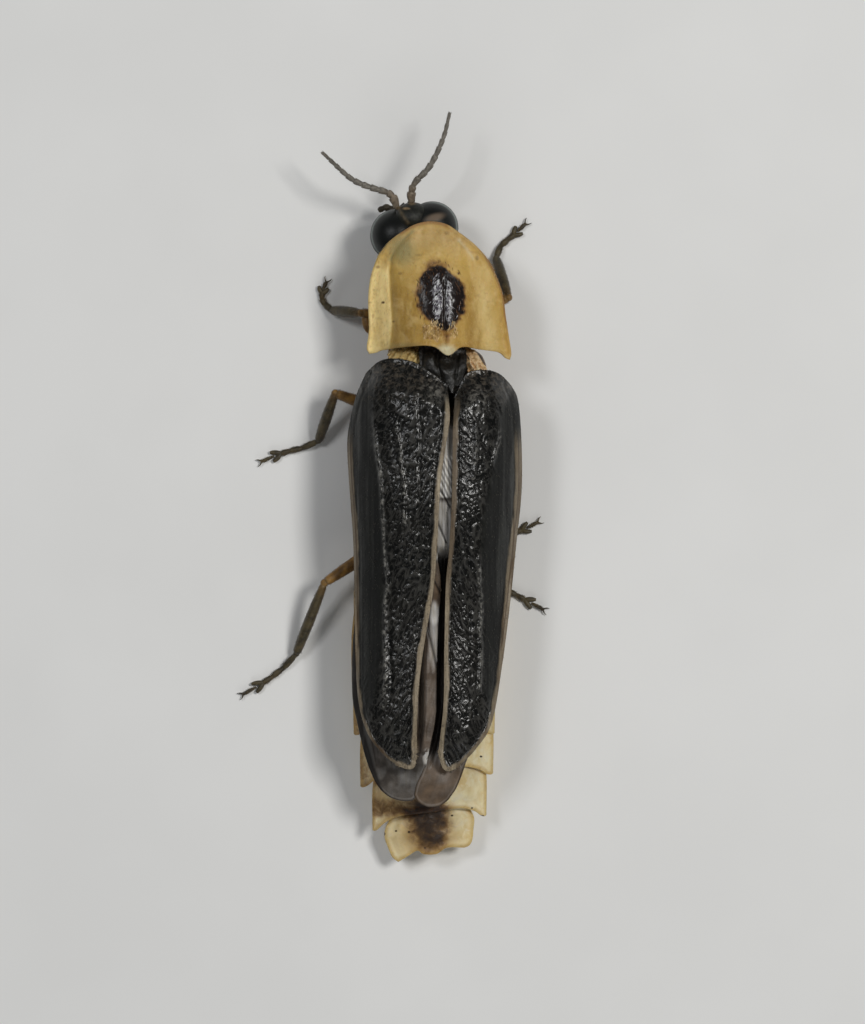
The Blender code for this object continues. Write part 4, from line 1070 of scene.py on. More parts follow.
def pronotum():
    """The shield: a raised disc with flat margins, a dark spot and fine hairs."""
    left = [(0.45, -7.55), (0.66, -6.95), (0.75, -6.2), (0.73, -5.2), (0.80, -4.62), (0.72, -4.40)]
    right = [(-3.44, -7.07), (-3.70, -6.4), (-3.82, -5.6), (-3.93, -4.9), (-4.00, -4.42), (-3.95, -4.20)]
    front = [left[0], (0.25, -7.80), (-0.01, -8.13), (-0.41, -8.42), (-0.81, -8.64), (-1.30, -8.74)]
    front += [(-1.83, -8.65), (-2.29, -8.36), (-2.65, -8.09), (-2.95, -7.80), (-3.21, -7.47), right[0]]
    rear = [left[-1], (0.50, -4.43), (0.20, -4.52), (-0.90, -4.62), (-1.45, -4.58), (-1.90, -4.30)]
    rear += [(-2.35, -4.58), (-3.00, -4.52), (-3.58, -4.44), (-3.82, -4.25), right[-1]]
    plan = patch(left, right, front, rear, PRONOTUM_SIZE, PRONOTUM_SIZE)
    x, y = plan[..., 0], plan[..., 1]
    back = np.clip((y - PRONOTUM_FRONT_Y) / PRONOTUM_LENGTH, 0.0, 1.0)
    offset = x - line_x(PRONOTUM_AXIS_FRONT, PRONOTUM_AXIS_REAR, y)
    side = np.abs(offset) / PRONOTUM_HALF_WIDTH
    z = blend(PRONOTUM_CREST[0], PRONOTUM_CREST[1], ease(back, 0.0, 0.8))
    z = z - blend(PRONOTUM_DROP[0], PRONOTUM_DROP[1], ease(back, 0.1, 0.95)) * ease(side, 0.12, 1.0)
    points = raised(plan, z)
    u, v = seen(points)
    edge = distance_to(plan, rim_of(plan))
    flange = trace(FLANGE_LINE, v)
    z = z - 0.05 * ridge(u, flange, 2.2) * ease(v, 240, 262) * (1.0 - ease(v, 330, 348))
    z = z + 0.04 * ease(u, flange, flange + 7.0) * (1.0 - ease(u, flange + 10.0, flange + 30.0))
    z = z - 0.06 * ridge(u, blend(466.0, 480.0, ease(v, 240, 340)), 5.0) * between(v, 250, 345, 20)
    z = z - 0.05 * ridge(u, 445.0, 1.6) * between(v, 284, 338, 10)
    z = z + 0.03 * blot(u, v, SPOT, (20, 28), 0.5)
    z = z - 0.05 * ridge(v, 336.0, 6.0) * between(u, 398, 480, 15)
    z = z + 0.030 * ridge(edge, 0.05, 0.05) - 0.03 * ridge(edge, 0.22, 0.10)
    points[..., 2] = z + 0.030 * layered(points, 0.9, 3, 31) + 0.006 * layered(points, 0.12, 2, 32)
    ragged = layered(points, 0.22, 2, 33)
    inside = np.minimum(u - trace(SPOT_LEFT, v), trace(SPOT_RIGHT, v) - u)
    spot = ease(inside + 3.0 * ragged, -7.0, 6.0) * between(v, 271, 325, 12)
    halo = blot(u, v, (437, 268), (15, 9), 0.5) * 0.45 + blot(u, v, (424, 290), (8, 15), 0.5) * 0.4
    halo = halo + blot(u, v, (447, 330), (5, 12), 0.5) * 0.5
    spot = np.clip(np.maximum(spot, halo * (0.8 + 0.5 * ragged)), 0.0, 1.0)
    # The left band is pale on its own and is also painted lighter, as painted light.
    left_band = ease(flange - u, 0.0, 3.0) * ease(v, 252, 280)
    right_band = ridge(u, blend(484.0, 490.0, ease(v, 300, 345)), 9.0) * ease(v, 250, 285)
    pale = np.clip(left_band + right_band * (0.9 + 0.25 * ragged), 0.0, 1.0)
    deep = between(u, flange + 4.0, 478.0, 8) * ease(v, 262, 300)
    deep = deep + 0.25 * ease(u, 494, 503) * ease(v, 280, 330)
    front_mark = (1.0 - ease(v, 236, 262)) * (0.7 + 0.3 * ragged)
    # Painted shade: a dark green line and patch where the eye lies under the shield's front left; the blot at
    # the hind margin is an olive band of its own.
    green = 0.7 * blot(u, v, (402, 250), (12, 15), 0.7, -0.5)
    green = np.maximum(green, 0.7 * stroke(u, v, ((412, 232), (403, 240), (395, 249), (391, 259)), 2.4, 6))
    green = np.maximum(green, 0.45 * blot(u, v, (405, 347), (20, 4), 0.6))
    white = 0.9 * blot(u, v, (446, 352), (10, 7), 0.5)
    # Painted highlight: a pale streak on the front right slope.
    white = white + 0.45 * stroke(u, v, ((459, 241), (466, 248), (473, 258)), 2.2, 4)
    brow = between(u, 402, 445, 6) * (1.0 - ease(v, 232, 240))
    rim_line = (1.0 - ease(edge, 0.03, 0.09)) * (0.25 + 0.6 * between(v, 262, 318, 20) * ease(u, 470, 490))
    rim_line = rim_line + (1.0 - ease(edge, 0.05, 0.14)) * 0.6 * brow
    marks = {
        "spot": spot, "pale": pale, "left": left_band, "deep": deep, "green": green,
        "front": front_mark, "white": white, "edge": rim_line, "speck": specks(u, v, SPECKS),
    }
    shape = Shape()
    thick = blend(0.08, 0.34, ease(edge, 0.0, 1.0))
    normal = add_sheet(shape, points, thick, **clipped(marks))
    shape.build("pronotum_shield", pronotum_look(), "amber", "pronotum")
    pronotum_hairs(points, normal)


def pronotum_hairs(points, normal):
    """Tiny golden hairs round the dark spot, and longer ones on it and at its edges; those in two bands on
    the spot are near white, as painted highlights.
    """
    gold = hair_look("pronotum_hair", (166, 132, 76), (206, 180, 128))
    roots, up, places = scatter(points, normal, PRONOTUM_HAIRS, 5)
    u, v = seen(roots)
    clear = blot(u, v, (442, 298), (22, 33), 0.3) < 0.4
    roots, up, places = roots[clear], up[clear], places[clear]
    drift = np.broadcast_to([0.1, 1.0, 0.0], roots.shape)
    hair_piece("pronotum_fuzz", gold, roots, drift, up, PRONOTUM_HAIR, places, 5)
    roots, up, places = scatter(points, normal, SPOT_HAIRS, 6)
    u, v = seen(roots)
    draw = np.random.default_rng(SEED + 7).uniform(size=len(roots))
    left_glint = blot(u, v, (438.5, 295), (4.2, 21), 0.25)
    right_glint = blot(u, v, (448.0, 299), (2.6, 19), 0.25)
    fringe = 0.3 * blot(u, v, (440, 294), (22, 30), 0.3) * (1.0 - blot(u, v, (442, 297), (19, 27), 0.4))
    tail = 0.9 * blot(u, v, (433, 329), (8, 10), 0.4) + 0.4 * blot(u, v, (454, 327), (4, 7), 0.4)
    left_glint = np.maximum(left_glint, 0.010 * blot(u, v, SPOT, (19, 27), 0.3))
    # Painted highlights: the near-white hairs in the two bands on the spot stand for its silver glints.
    for name, chance, slant, dark, light, seed in (
        ("left_band_glint_hair", left_glint, -0.55, (110, 104, 114), (254, 251, 255), 6),
        ("right_band_glint_hair", right_glint * 0.9, 0.45, (90, 84, 94), (244, 238, 250), 8),
        ("fringe_hair", fringe * (draw > 0.02), 0.1, (52, 34, 24), (96, 66, 42), 10),
        ("gold_hair", tail, -0.3, (154, 116, 60), (226, 200, 150), 9),
    ):
        name = "pronotum_" + name
        kept = draw < chance
        sweep = np.broadcast_to([-slant, 1.0, 0.0], (kept.sum(), 3))
        look = hair_look(name, dark, light, 0.22, 0.12)
        hair_piece(name, look, roots[kept], sweep, up[kept], SPOT_HAIR, places[kept], seed)


# Head

HEAD_CENTRE = np.array([-0.75, -8.53, 1.85])
HEAD_TURN = math.radians(15.0)
SKULL_VOXEL = 0.026
SKULL_SMOOTHING = 4
EYES = {"left": (0.60, 0.0, 0.0), "right": (-0.635, 0.06, 0.0)}
EYE_RADII = np.array([0.87, 0.88, 0.89])
EYE_ROWS = 80
EYE_SIDES = 120
PALP_POINTS = 40

# Overlapping lumps of the skull in the head's frame: centre and radii
SKULL = (
    ((0.0, 0.10, 0.02), (0.62, 0.86, 0.74)),
    ((0.0, 0.85, -0.05), (0.74, 0.55, 0.66)),
    ((-0.04, -0.42, 0.30), (0.60, 0.52, 0.58)),
    ((0.04, -0.70, 0.16), (0.38, 0.22, 0.28)),
    ((0.0, -0.56, -0.28), (0.42, 0.36, 0.38)),
    ((0.0, -0.76, -0.44), (0.25, 0.18, 0.13)),
    ((0.30, -0.79, 0.32), (0.15, 0.12, 0.14)),
    ((-0.17, -0.81, 0.32), (0.15, 0.12, 0.14)),
    ((0.36, -0.62, -0.58), (0.18, 0.22, 0.14)),
    ((-0.36, -0.62, -0.58), (0.18, 0.22, 0.14)),
    ((-0.36, -0.62, 0.42), (0.06, 0.05, 0.06)),
)
JAW = ((0.20, -0.62, -0.55), (0.24, -0.86, -0.60), (0.05, -1.02, -0.62))
PALPS = {
    "left": ((0.44, -0.86, -0.62), (0.60, -1.00, -0.69), (0.76, -1.03, -0.70), (0.96, -0.99, -0.70)),
    "right": ((-0.46, -0.66, -0.80), (-0.50, -0.68, -1.10), (-0.56, -0.70, -1.30), (-0.52, -0.66, -1.46)),
}


def head_point(x, y, z):
    """A place in the head's own frame, as model millimetres."""
    c, s = math.cos(HEAD_TURN), math.sin(HEAD_TURN)
    return HEAD_CENTRE + np.array([x * c - y * s, x * s + y * c, z])


def remeshed(piece, voxel, smooth):
    """Fuse a piece's overlapping lumps into one skin, and give back its points."""
    fuse = piece.modifiers.new("fuse", "REMESH")
    fuse.mode = "VOXEL"
    fuse.voxel_size = voxel * MM
    fuse.use_smooth_shade = True
    soften = piece.modifiers.new("soften", "SMOOTH")
    soften.factor = 0.5
    soften.iterations = smooth
    graph = bpy.context.evaluated_depsgraph_get()
    mesh = bpy.data.meshes.new_from_object(piece.evaluated_get(graph))
    piece.modifiers.clear()
    piece.data = mesh
    points = np.empty(len(mesh.vertices) * 3, dtype=np.float32)
    mesh.vertices.foreach_get("co", points)
    return points.reshape(-1, 3).astype(float) / MM


def remark(piece, **marks):
    """Store marks on the points of a finished mesh."""
    for name, values in marks.items():
        layer = piece.data.attributes.new(name, "FLOAT", "POINT")
        layer.data.foreach_set("value", np.clip(values, 0.0, 1.0).astype(np.float32))


def head():
    """The black head: brow, cheeks, antennal sockets, lip and jaws, with its eyes and palps."""
    skin = head_look()
    shape = Shape()
    for place, radii in SKULL:
        add_ball(shape, head_point(*place), radii, HEAD_TURN)
    for side in (-1, 1):
        line = smooth_path([head_point(side * x, y, z) for x, y, z in JAW], 12)
        size = np.linspace(0.11, 0.03, 12)
        add_tube(shape, line, size, size, sides=12)
    piece = shape.build("head_skin", skin, "black_head", "head")
    points = remeshed(piece, SKULL_VOXEL, SKULL_SMOOTHING)
    u, v = seen(points)
    top = ease(points[:, 2], 1.9, 2.05)
    brown = 0.5 * blot(u, v, (397, 206), (4, 3), 0.5) + 0.5 * blot(u, v, (411.5, 202.5), (4, 2.5), 0.5)
    brown = brown + 0.22 * stroke(u, v, ((399, 209), (403, 216), (408, 223)), 2.0, 3)
    brown = brown + 0.9 * blot(u, v, (406, 208.5), (3.5, 1.2), 0.5)
    remark(piece, brown=brown * top)
    eye_skin = eye_look()
    for name, side in (("left", 1), ("right", -1)):
        shape = Shape()
        centre = head_point(*EYES[name])
        globe = unit_ball(EYE_ROWS, EYE_SIDES)
        # Painted reflection: a thin cool ring near each eye's outer edge; the pinkish patch on the right eye
        # is a painted highlight.
        ring = ridge(globe[:, 2], 0.34, 0.08) * ease(side * globe[:, 0], -0.1, 0.4)
        u, v = seen(centre + globe * EYE_RADII)
        pink = 0.7 * blot(u, v, (437, 218.5), (9, 3.6), 0.6) * (globe[:, 2] > 0) * (name == "right")
        add_ball(shape, centre, EYE_RADII, HEAD_TURN, EYE_ROWS, EYE_SIDES, ring=ring, pink=pink)
        shape.build("eye_globe_" + name, eye_skin, "eye", "eye_" + name)
        shape = Shape()
        line = smooth_path([head_point(*place) for place in PALPS[name]], PALP_POINTS)
        size = 0.10 + 0.035 * np.abs(np.sin(np.linspace(0.2, 3.0 * math.pi - 0.3, PALP_POINTS)))
        size = 0.9 * size * np.sin(np.linspace(0.5, math.pi - 0.35, PALP_POINTS)) ** 0.4
        add_tube(shape, line, size, size, brown=0.15)
        shape.build("palp_skin_" + name, skin, "feeler", "palp_" + name)


def eye_look():
    """Black facetted eye with a faint cool ring near its outer edge, a painted reflection, and a painted
    pinkish highlight.
    """
    look = Look("eye_shell", 0.3, 0.36)
    cloud = look.clouds(0.5, 3.0)
    colour = look.mix(look.span(cloud, 0.3, 0.7), (0.0040, 0.0046, 0.0042, 1.0), (0.009, 0.0105, 0.0095, 1.0))
    # Painted reflection: the cool ring, then the pinkish highlight.
    colour = look.mix(look.times(look.mark("ring"), 0.9), colour, tone(104, 114, 110))
    colour = look.paint(colour, "pink", (112, 98, 84))
    look.set("Base Color", colour)
    look.bump(look.cells(0.035), 0.006, 0.6)
    return look.material


# Feelers

ANTENNA_LEFT = (
    (-0.20, -9.28, 2.16), (-0.08, -9.60, 2.25), (0.12, -9.78, 2.32), (0.60, -9.92, 2.46),
    (1.05, -10.08, 2.54), (1.47, -10.34, 2.58), (2.30, -11.12, 2.45),
)
ANTENNA_RIGHT = (
    (-0.70, -9.40, 2.16), (-0.68, -9.72, 2.30), (-0.80, -10.10, 2.46), (-1.30, -10.65, 2.60),
    (-1.73, -11.55, 2.55), (-1.96, -12.44, 2.42),
)
FEELER_POINTS = 241
FEELER_HAIRS = 1500
JOINT_ENDS = (0.0, 0.13, 0.19, 0.29, 0.38, 0.47, 0.56, 0.65, 0.73, 0.81, 0.89, 1.0)


def antenna(side, route, material, hair):
    """One feeler: eleven flattened joints, each wider at its far end, with short hairs."""
    line = smooth_path(route, FEELER_POINTS)
    share = np.linspace(0.0, 1.0, FEELER_POINTS)
    ends = np.array(JOINT_ENDS)
    joint = np.clip(np.searchsorted(ends, share, side="right") - 1, 0, len(ends) - 2)
    within = (share - ends[joint]) / (ends[joint + 1] - ends[joint])
    swell = 0.78 + 0.22 * ease(within, 0.0, 0.75)
    swell = swell * (1.0 - 0.30 * ease(within, 0.90, 1.0)) * (1.0 - 0.15 * (1.0 - ease(within, 0.0, 0.08)))
    wide = np.interp(share, (0.0, 0.10, 0.20, 0.50, 0.85, 1.0), (0.125, 0.150, 0.115, 0.105, 0.070, 0.048))
    wide = wide * swell
    wide[0] = wide[-1] = 0.02
    shape = Shape()
    brown = 0.6 * (1.0 - ease(share, 0.10, 0.30))
    points = add_tube(shape, line, wide, wide * 0.72, sides=18, rough=0.004, seed=40, brown=brown)
    shape.build("antenna_skin_" + side, material, "feeler", "antenna_" + side)
    coat("antenna_hair_" + side, [(points, line, FEELER_HAIRS)], FEELER_HAIR, hair, 41)


# Legs

# Each leg's root, knee and ankle in plan, then its foot's course
LEGS = {
    "leg_front_left": (
        (-0.85, -5.60), (1.00, -5.80), (1.98, -5.93),
        ((2.30, -6.20), (2.33, -6.55), (2.20, -6.88)),
    ),
    "leg_front_right": (
        (-2.15, -5.60), (-3.92, -6.32), (-3.52, -7.68),
        ((-3.68, -8.12), (-4.10, -8.46), (-4.50, -8.84)),
    ),
    "leg_middle_left": (
        (-0.70, -2.20), (1.87, -3.12), (2.45, -1.55),
        ((2.90, -1.33), (3.60, -1.16), (4.36, -0.86)),
    ),
    "leg_middle_right": (
        (-2.25, -2.05), (-3.75, -0.62), (-3.35, 1.10),
        ((-3.73, 1.42), (-4.25, 1.52), (-4.92, 1.20)),
    ),
    "leg_hind_left": (
        (-0.65, 1.30), (2.23, 3.22), (3.20, 5.62),
        ((3.57, 6.05), (4.28, 6.58), (4.98, 6.98)),
    ),
    "leg_hind_right": (
        (-2.15, 1.30), (-3.85, 0.98), (-3.27, 3.30),
        ((-3.75, 3.42), (-4.45, 3.78), (-5.10, 4.12)),
    ),
}
FOOT_SHARES = (0.0, 0.30, 0.50, 0.66, 0.80, 1.0)
LOBED_JOINT = 3
COXA_HEIGHT = 0.60
KNEE_HEIGHT = 1.52
ANKLE_HEIGHT = 0.30
FOOT_HEIGHT = 0.13
LIMB_POINTS = 80
THIGH_HAIRS = 500
SHIN_HAIRS = 800
TOE_HAIRS = 170


def limb_profile(start, middle, end):
    """Half widths of a limb piece that is rounded at both ends."""
    share = np.linspace(0.0, 1.0, LIMB_POINTS)
    size = blend(start, end, share) + (middle - (start + end) / 2) * np.sin(math.pi * share)
    closing = np.sqrt(np.clip(1.0 - (1.0 - np.minimum(share, 0.06) / 0.06) ** 2, 0.04, 1.0))
    closing = closing * np.sqrt(np.clip(1.0 - (1.0 - np.minimum(1.0 - share, 0.05) / 0.05) ** 2, 0.04, 1.0))
    return size * closing


def foot(shape, heel, route):
    """Five foot joints, the fourth two-lobed, and two claws; gives back the tubes that carry hairs."""
    line = smooth_path([heel] + [(x, y, FOOT_HEIGHT) for x, y in route], 101)
    places = [line[round(share * 100)] for share in FOOT_SHARES]
    tubes = []
    for joint in range(5):
        start, end = places[joint], places[joint + 1]
        ahead = unit(end - start)
        aside = np.cross(ahead, UP)
        if joint == LOBED_JOINT:
            for turn in (-1, 1):
                middle = blend(start, end, 0.6) + aside * turn * 0.10
                lobe = smooth_path([start, middle, end + aside * turn * 0.17 + ahead * 0.06], 16)
                size = 0.075 * np.sin(np.linspace(0.5, math.pi - 0.3, 16)) ** 0.6 + 0.008
                add_tube(shape, lobe, size, size * 0.75, 12)
            continue
        joint_line = smooth_path([start - ahead * 0.03, blend(start, end, 0.5), end + ahead * 0.02], 20)
        full = blend(0.118, 0.088, joint / 4) if joint < 4 else 0.062
        size = full * (0.72 + 0.28 * ease(np.linspace(0, 1, 20), 0.0, 0.8))
        size = size * np.sin(np.linspace(0.6, math.pi - 0.25, 20)) ** 0.35
        points = add_tube(shape, joint_line, size, size * 0.85, rough=0.004, seed=60 + joint)
        tubes.append((points, joint_line, TOE_HAIRS))
    tip = places[-1]
    for turn in (-1, 1):
        middle = tip + ahead * 0.10 + aside * turn * 0.09
        end = tip + ahead * 0.19 + aside * turn * 0.12 - UP * 0.05
        size = np.linspace(0.035, 0.008, 12)
        add_tube(shape, smooth_path([tip, middle, end], 12), size, size, 10)
    return tubes


def leg(name, material, hair):
    """One leg from coxa to claws, with its hairs."""
    root, knee, ankle, route = LEGS[name]
    hip = np.array([*root, COXA_HEIGHT])
    bend = np.array([*knee, KNEE_HEIGHT])
    heel = np.array([*ankle, ANKLE_HEIGHT])
    shape = Shape()
    add_ball(shape, hip, (0.40, 0.46, 0.27), 0.0, 20, 28, brown=1.0)
    ring = hip + unit(bend - hip) * 0.48
    add_ball(shape, ring, (0.24, 0.22, 0.20), 0.0, 16, 22, brown=1.0)
    sag = UP * 0.08
    fade = np.linspace(0.0, 1.0, LIMB_POINTS)
    femur = smooth_path([ring, blend(ring, bend, 0.5) + sag, bend], LIMB_POINTS)
    size = limb_profile(0.17, 0.235, 0.16)
    brown = 1.0 - 0.5 * ease(fade, 0.92, 1.0)
    upper = add_tube(shape, femur, size * 0.9, size, 20, rough=0.005, seed=51, brown=brown)
    shin = smooth_path([bend, blend(bend, heel, 0.45) + sag * 0.6, heel], LIMB_POINTS)
    size = limb_profile(0.13, 0.195, 0.155)
    brown = 0.35 * (1.0 - ease(fade, 0.0, 0.25))
    lower = add_tube(shape, shin, size * 0.9, size, 20, rough=0.005, seed=52, brown=brown)
    add_ball(shape, bend - UP * 0.02, (0.135, 0.135, 0.125), 0.0, 16, 22, brown=0.7)
    add_ball(shape, heel, (0.105, 0.105, 0.10), 0.0, 16, 22)
    if name == "leg_front_left":
        add_ball(shape, bend + np.array([-0.20, 0.34, -0.12]), (0.17, 0.36, 0.16), 0.25, 20, 28, brown=1.0)
    tubes = [(upper, femur, THIGH_HAIRS), (lower, shin, SHIN_HAIRS)] + foot(shape, heel, route)
    shape.build(name + "_skin", material, "leg", name)
    coat(name + "_hair", tubes, LEG_HAIR, hair, 71)


# Thorax, scutellum and what lies between pronotum and wing cases

def thorax_look():
    """Brown underside, black on its back under the scutellum."""
    look = shell_look("thorax_shell", 0.35, 0.45, 0.02)
    cloud = look.clouds(0.35, 5.0, 0.65)
    brown = look.tones(cloud, (74, 52, 28), (126, 94, 52))
    look.set("Base Color", look.mix(look.mark("black"), brown, tone(22, 20, 18)))
    return look.material


THORAX_POINTS = 150
THORAX_SIDES = 90


def add_bosses(shape, *pairs):
    """The swellings of the underside that the legs' roots sit in."""
    for name in LEGS:
        if name.split("_")[1] in pairs:
            x, y = LEGS[name][0]
            add_ball(shape, np.array([x, y, 1.06]), (0.44, 0.52, 0.32), 0.0, 20, 28)


def thorax():
    """The middle and hind thorax with the prothorax's underside."""
    material = thorax_look()

    def sculpt(points):
        below = points[..., 2] < 1.6
        y = points[..., 1]
        x = points[..., 0] - axis_x(y)
        seam = -0.07 * ridge(y, -1.55, 0.07) - 0.05 * ridge(y, -3.4, 0.07) - 0.05 * ridge(y, 1.15, 0.06)
        return np.where(below, -0.06 * ridge(x, 0.0, 0.07), 0.0) + seam

    sections = [
        (-4.62, -1.52, 1.10, 1.35, 2.72), (-4.20, -1.51, 1.60, 1.16, 2.84), (-2.60, -1.48, 1.88, 1.10, 2.85),
        (-0.60, -1.43, 1.95, 1.08, 2.85), (1.20, -1.39, 1.86, 1.10, 2.80), (2.25, -1.37, 1.55, 1.30, 2.60),
    ]
    shape = Shape()
    y = smooth_path(sections, THORAX_POINTS)[:, 0:1]
    rise = np.sin(np.linspace(0.0, 2.0 * math.pi, THORAX_SIDES, endpoint=False))
    black = (1.0 - ease(y, -2.9, -2.2)) * ease(rise, 0.1, 0.4)
    black = np.concatenate([black.ravel(), [0.0, 0.0]])
    add_barrel(shape, sections, THORAX_POINTS, THORAX_SIDES, rough=0.014, dent=sculpt, black=black)
    add_bosses(shape, "middle", "hind")
    shape.build("thorax_skin", material, "underside", "thorax")
    shape = Shape()
    sections = [
        (-7.14, -1.18, 0.44, 1.62, 2.28), (-7.05, -1.20, 0.62, 1.45, 2.40), (-6.70, -1.30, 0.96, 1.22, 2.85),
        (-6.00, -1.46, 1.42, 1.10, 3.44), (-5.20, -1.52, 1.62, 1.10, 3.74), (-4.80, -1.54, 1.50, 1.18, 3.66),
        (-4.62, -1.54, 1.30, 1.32, 3.44),
    ]
    add_barrel(shape, sections, 90, 80, rough=0.014)
    neck = [(-7.80, -0.98, 0.52, 1.40, 2.30), (-7.40, -1.08, 0.50, 1.45, 2.25)]
    neck += [(-6.90, -1.22, 0.58, 1.50, 2.30)]
    add_barrel(shape, neck, 30, 40, rough=0.02)
    waist = [(-4.90, -1.53, 1.10, 1.40, 2.70), (-4.60, -1.53, 1.02, 1.46, 2.60)]
    waist += [(-4.30, -1.52, 1.10, 1.40, 2.60)]
    add_barrel(shape, waist, 30, 50, rough=0.02)
    add_bosses(shape, "front")
    shape.build("prothorax_skin", material, "underside", "prothorax")


def scutellum():
    """The black back plate with its two front lobes, and the membranes beside it."""
    dusky = ((10, 10, 8), (26, 24, 19))
    look = shell_look("scutellum_shell", 0.2, 0.30, 0.02, tones=dusky)
    shape = Shape()
    left = [(-0.93, -4.60), (-0.94, -4.25), (-1.05, -3.90), (-1.45, -3.55), (-1.96, -3.12)]
    right = [(-2.46, -4.60), (-2.52, -4.25), (-2.48, -3.90), (-2.34, -3.50), (-2.10, -3.10)]
    front = [left[0], (-1.20, -4.64), (-1.48, -4.58), (-1.90, -4.26), (-2.14, -4.50), right[0]]
    rear = [left[-1], (-2.04, -3.06), right[-1]]
    plan = patch(left, right, front, rear, 90, 90)
    s, t = shares(90, 90)
    z = 3.66 + 0.34 * ease(s, 0.0, 0.45) - 0.26 * np.abs(2.0 * t - 1.0) ** 2.4
    points = raised(plan, z)
    u, v = seen(points)
    z = z + 0.12 * blot(u, v, (447, 365), (8, 10), 0.6) + 0.08 * blot(u, v, (429, 358), (5, 6), 0.6)
    z = z - 0.12 * stroke(u, v, ((438, 352), (437, 362), (441, 376)), 2.0)
    z = z - 0.10 * stroke(u, v, ((458, 356), (456, 376)), 1.6)
    z = z - 0.10 * stroke(u, v, ((424, 350), (421, 372)), 2.5)
    points[..., 2] = z + 0.02 * layered(points, 0.25, 3, 81)
    add_sheet(shape, points, 0.3)
    shape.build("scutellum_plate", look.material, "black_shell", "scutellum")
    base_membranes()


# Skins beside the scutellum: both sides' places, wrinkle cell, and 1 where orange
BASE_MEMBRANES = (
    (
        ((0.06, -4.74), (0.08, -4.40), (0.0, -3.95)), ((-1.0, -4.74), (-1.0, -4.40), (-0.98, -3.90)),
        (0.10, 0.30, 1.0), 0.0,
    ),
    (
        ((-2.42, -4.62), (-2.50, -4.10), (-2.62, -3.66)),
        ((-2.80, -4.52), (-3.02, -4.15), (-3.22, -3.72)),
        (0.09, 0.35, 1.0), 1.0,
    ),
)


def base_membranes():
    """The crumpled skins beside the scutellum, pale on the left and orange on the right."""
    look = shell_look("base_membrane_skin", 0.14, 0.36, 0.02, soft=0.2)
    cloud = look.clouds(0.14, 5.0, 0.65)
    pale = look.tones(cloud, (136, 106, 56), (196, 172, 118))
    orange = look.tones(cloud, (144, 106, 62), (224, 194, 152))
    look.set("Base Color", look.mix(look.mark("orange"), pale, orange))
    shape = Shape()
    for left, right, cell, orange_mark in BASE_MEMBRANES:
        plan = patch(left, right, (left[0], right[0]), (left[-1], right[-1]), 70, 80)
        ground = raised(plan)
        z = 2.98 + 0.42 * ease(plan[..., 1], -4.62, -4.05)
        swung = turned(ground, 0.6 - 1.2 * orange_mark)
        z = z + 0.09 * net(swung, cell, 83, 1.6) + 0.06 * layered(ground, 0.25, 3, 82)
        edge = distance_to(plan, rim_of(plan))
        z = z - 0.15 * (1.0 - ease(edge, 0.0, 0.15))
        add_sheet(shape, raised(plan, z), MEMBRANE_THICKNESS, orange=orange_mark)
    shape.build("base_membrane", look.material, "underside")


# Abdomen: y of each ring's hind edge, middle x, and half width out to its lobes

RINGS = (
    (3.10, -1.34, 1.95), (4.26, -1.18, 2.46), (6.20, -1.10, 2.46),
    (7.90, -1.10, 2.40), (9.45, -1.19, 2.26), (10.88, -1.28, 1.94),
)
FIRST_RING = 2.45
RING_OVERLAP = 0.22
SIDE_SHARES = (0.95, 0.99, 0.985)
LOBE_BACK = 0.37
HIND_EDGE = ((0.955, 0.41), (0.90, 0.37), (0.75, 0.15), (0.48, 0.0))
BODY_CREST_REAR = 2.40
PLATE_ROWS = 60
PLATE_COLUMNS = 170
TAIL_ROWS = 90
TAIL_COLUMNS = 130
BELLY_SEAMS = (4.1, 5.5, 6.9, 8.2)
CREAM_SPECKS = (
    (481, 756.5, 1.4, 1.0, 1.0), (482.5, 816, 1.8, 1.0, 1.0), (452, 815.5, 1.3, 1.0, 1.0),
    (472, 808, 1.2, 0.8, 1.0), (409, 832, 1.4, 1.2, 1.0), (396, 831, 1.2, 0.9, 1.0),
    (425, 848, 1.2, 0.8, 1.0), (384, 834, 1.5, 1.5, 1.0),
)


def belly_low(y):
    """The underside's height, which lifts off the floor towards the thorax."""
    return blend(1.45, 0.0, ease(y, 2.2, 4.6))


def back_high(y):
    """The crest of the abdomen's back."""
    return blend(BODY_CREST_REAR, 1.62, ease(y, 9.6, 11.5))


def open_rim(plan):
    """How far each plan point is from a plate's sides and hind edge."""
    return distance_to(plan, np.concatenate([plan[:, 0], plan[:, -1], plan[-1]]))


def cream_sheet(shape, points, edge):
    """A thin pale plate with amber rims, brown smudges, painted shade and specks."""
    u, v = seen(points)
    uneven = layered(points, 0.5, 2, 92)
    # Painted shade: the left side is darkened brown, and a brown band along the wing lobes' hind edge is
    # painted shadow; the blot on the last plate is a smudge of its own.
    brown = 1.3 * blot(u, v, (430, 829), (18, 22), 0.9) + 0.75 * blot(u, v, (411, 808), (32, 9), 0.9)
    brown = brown * (0.85 + 0.35 * uneven) + 0.42 * (1.0 - ease(u, 362, 404)) * (1.0 - ease(v, 810, 860))
    warm = 0.5 * blot(u, v, (458, 776), (12, 14), 0.7) + 0.8 * blot(u, v, (425, 840), (34, 18), 0.7)
    warm = warm + 0.5 * blot(u, v, (392, 800), (22, 14), 0.7)
    rim = 1.0 - ease(edge, 0.03, 0.17)
    marks = {"rim": rim, "brown": brown, "warm": warm, "speck": specks(u, v, CREAM_SPECKS)}
    add_sheet(shape, points, blend(0.06, 0.12, ease(edge, 0.0, 0.2)), **clipped(marks))


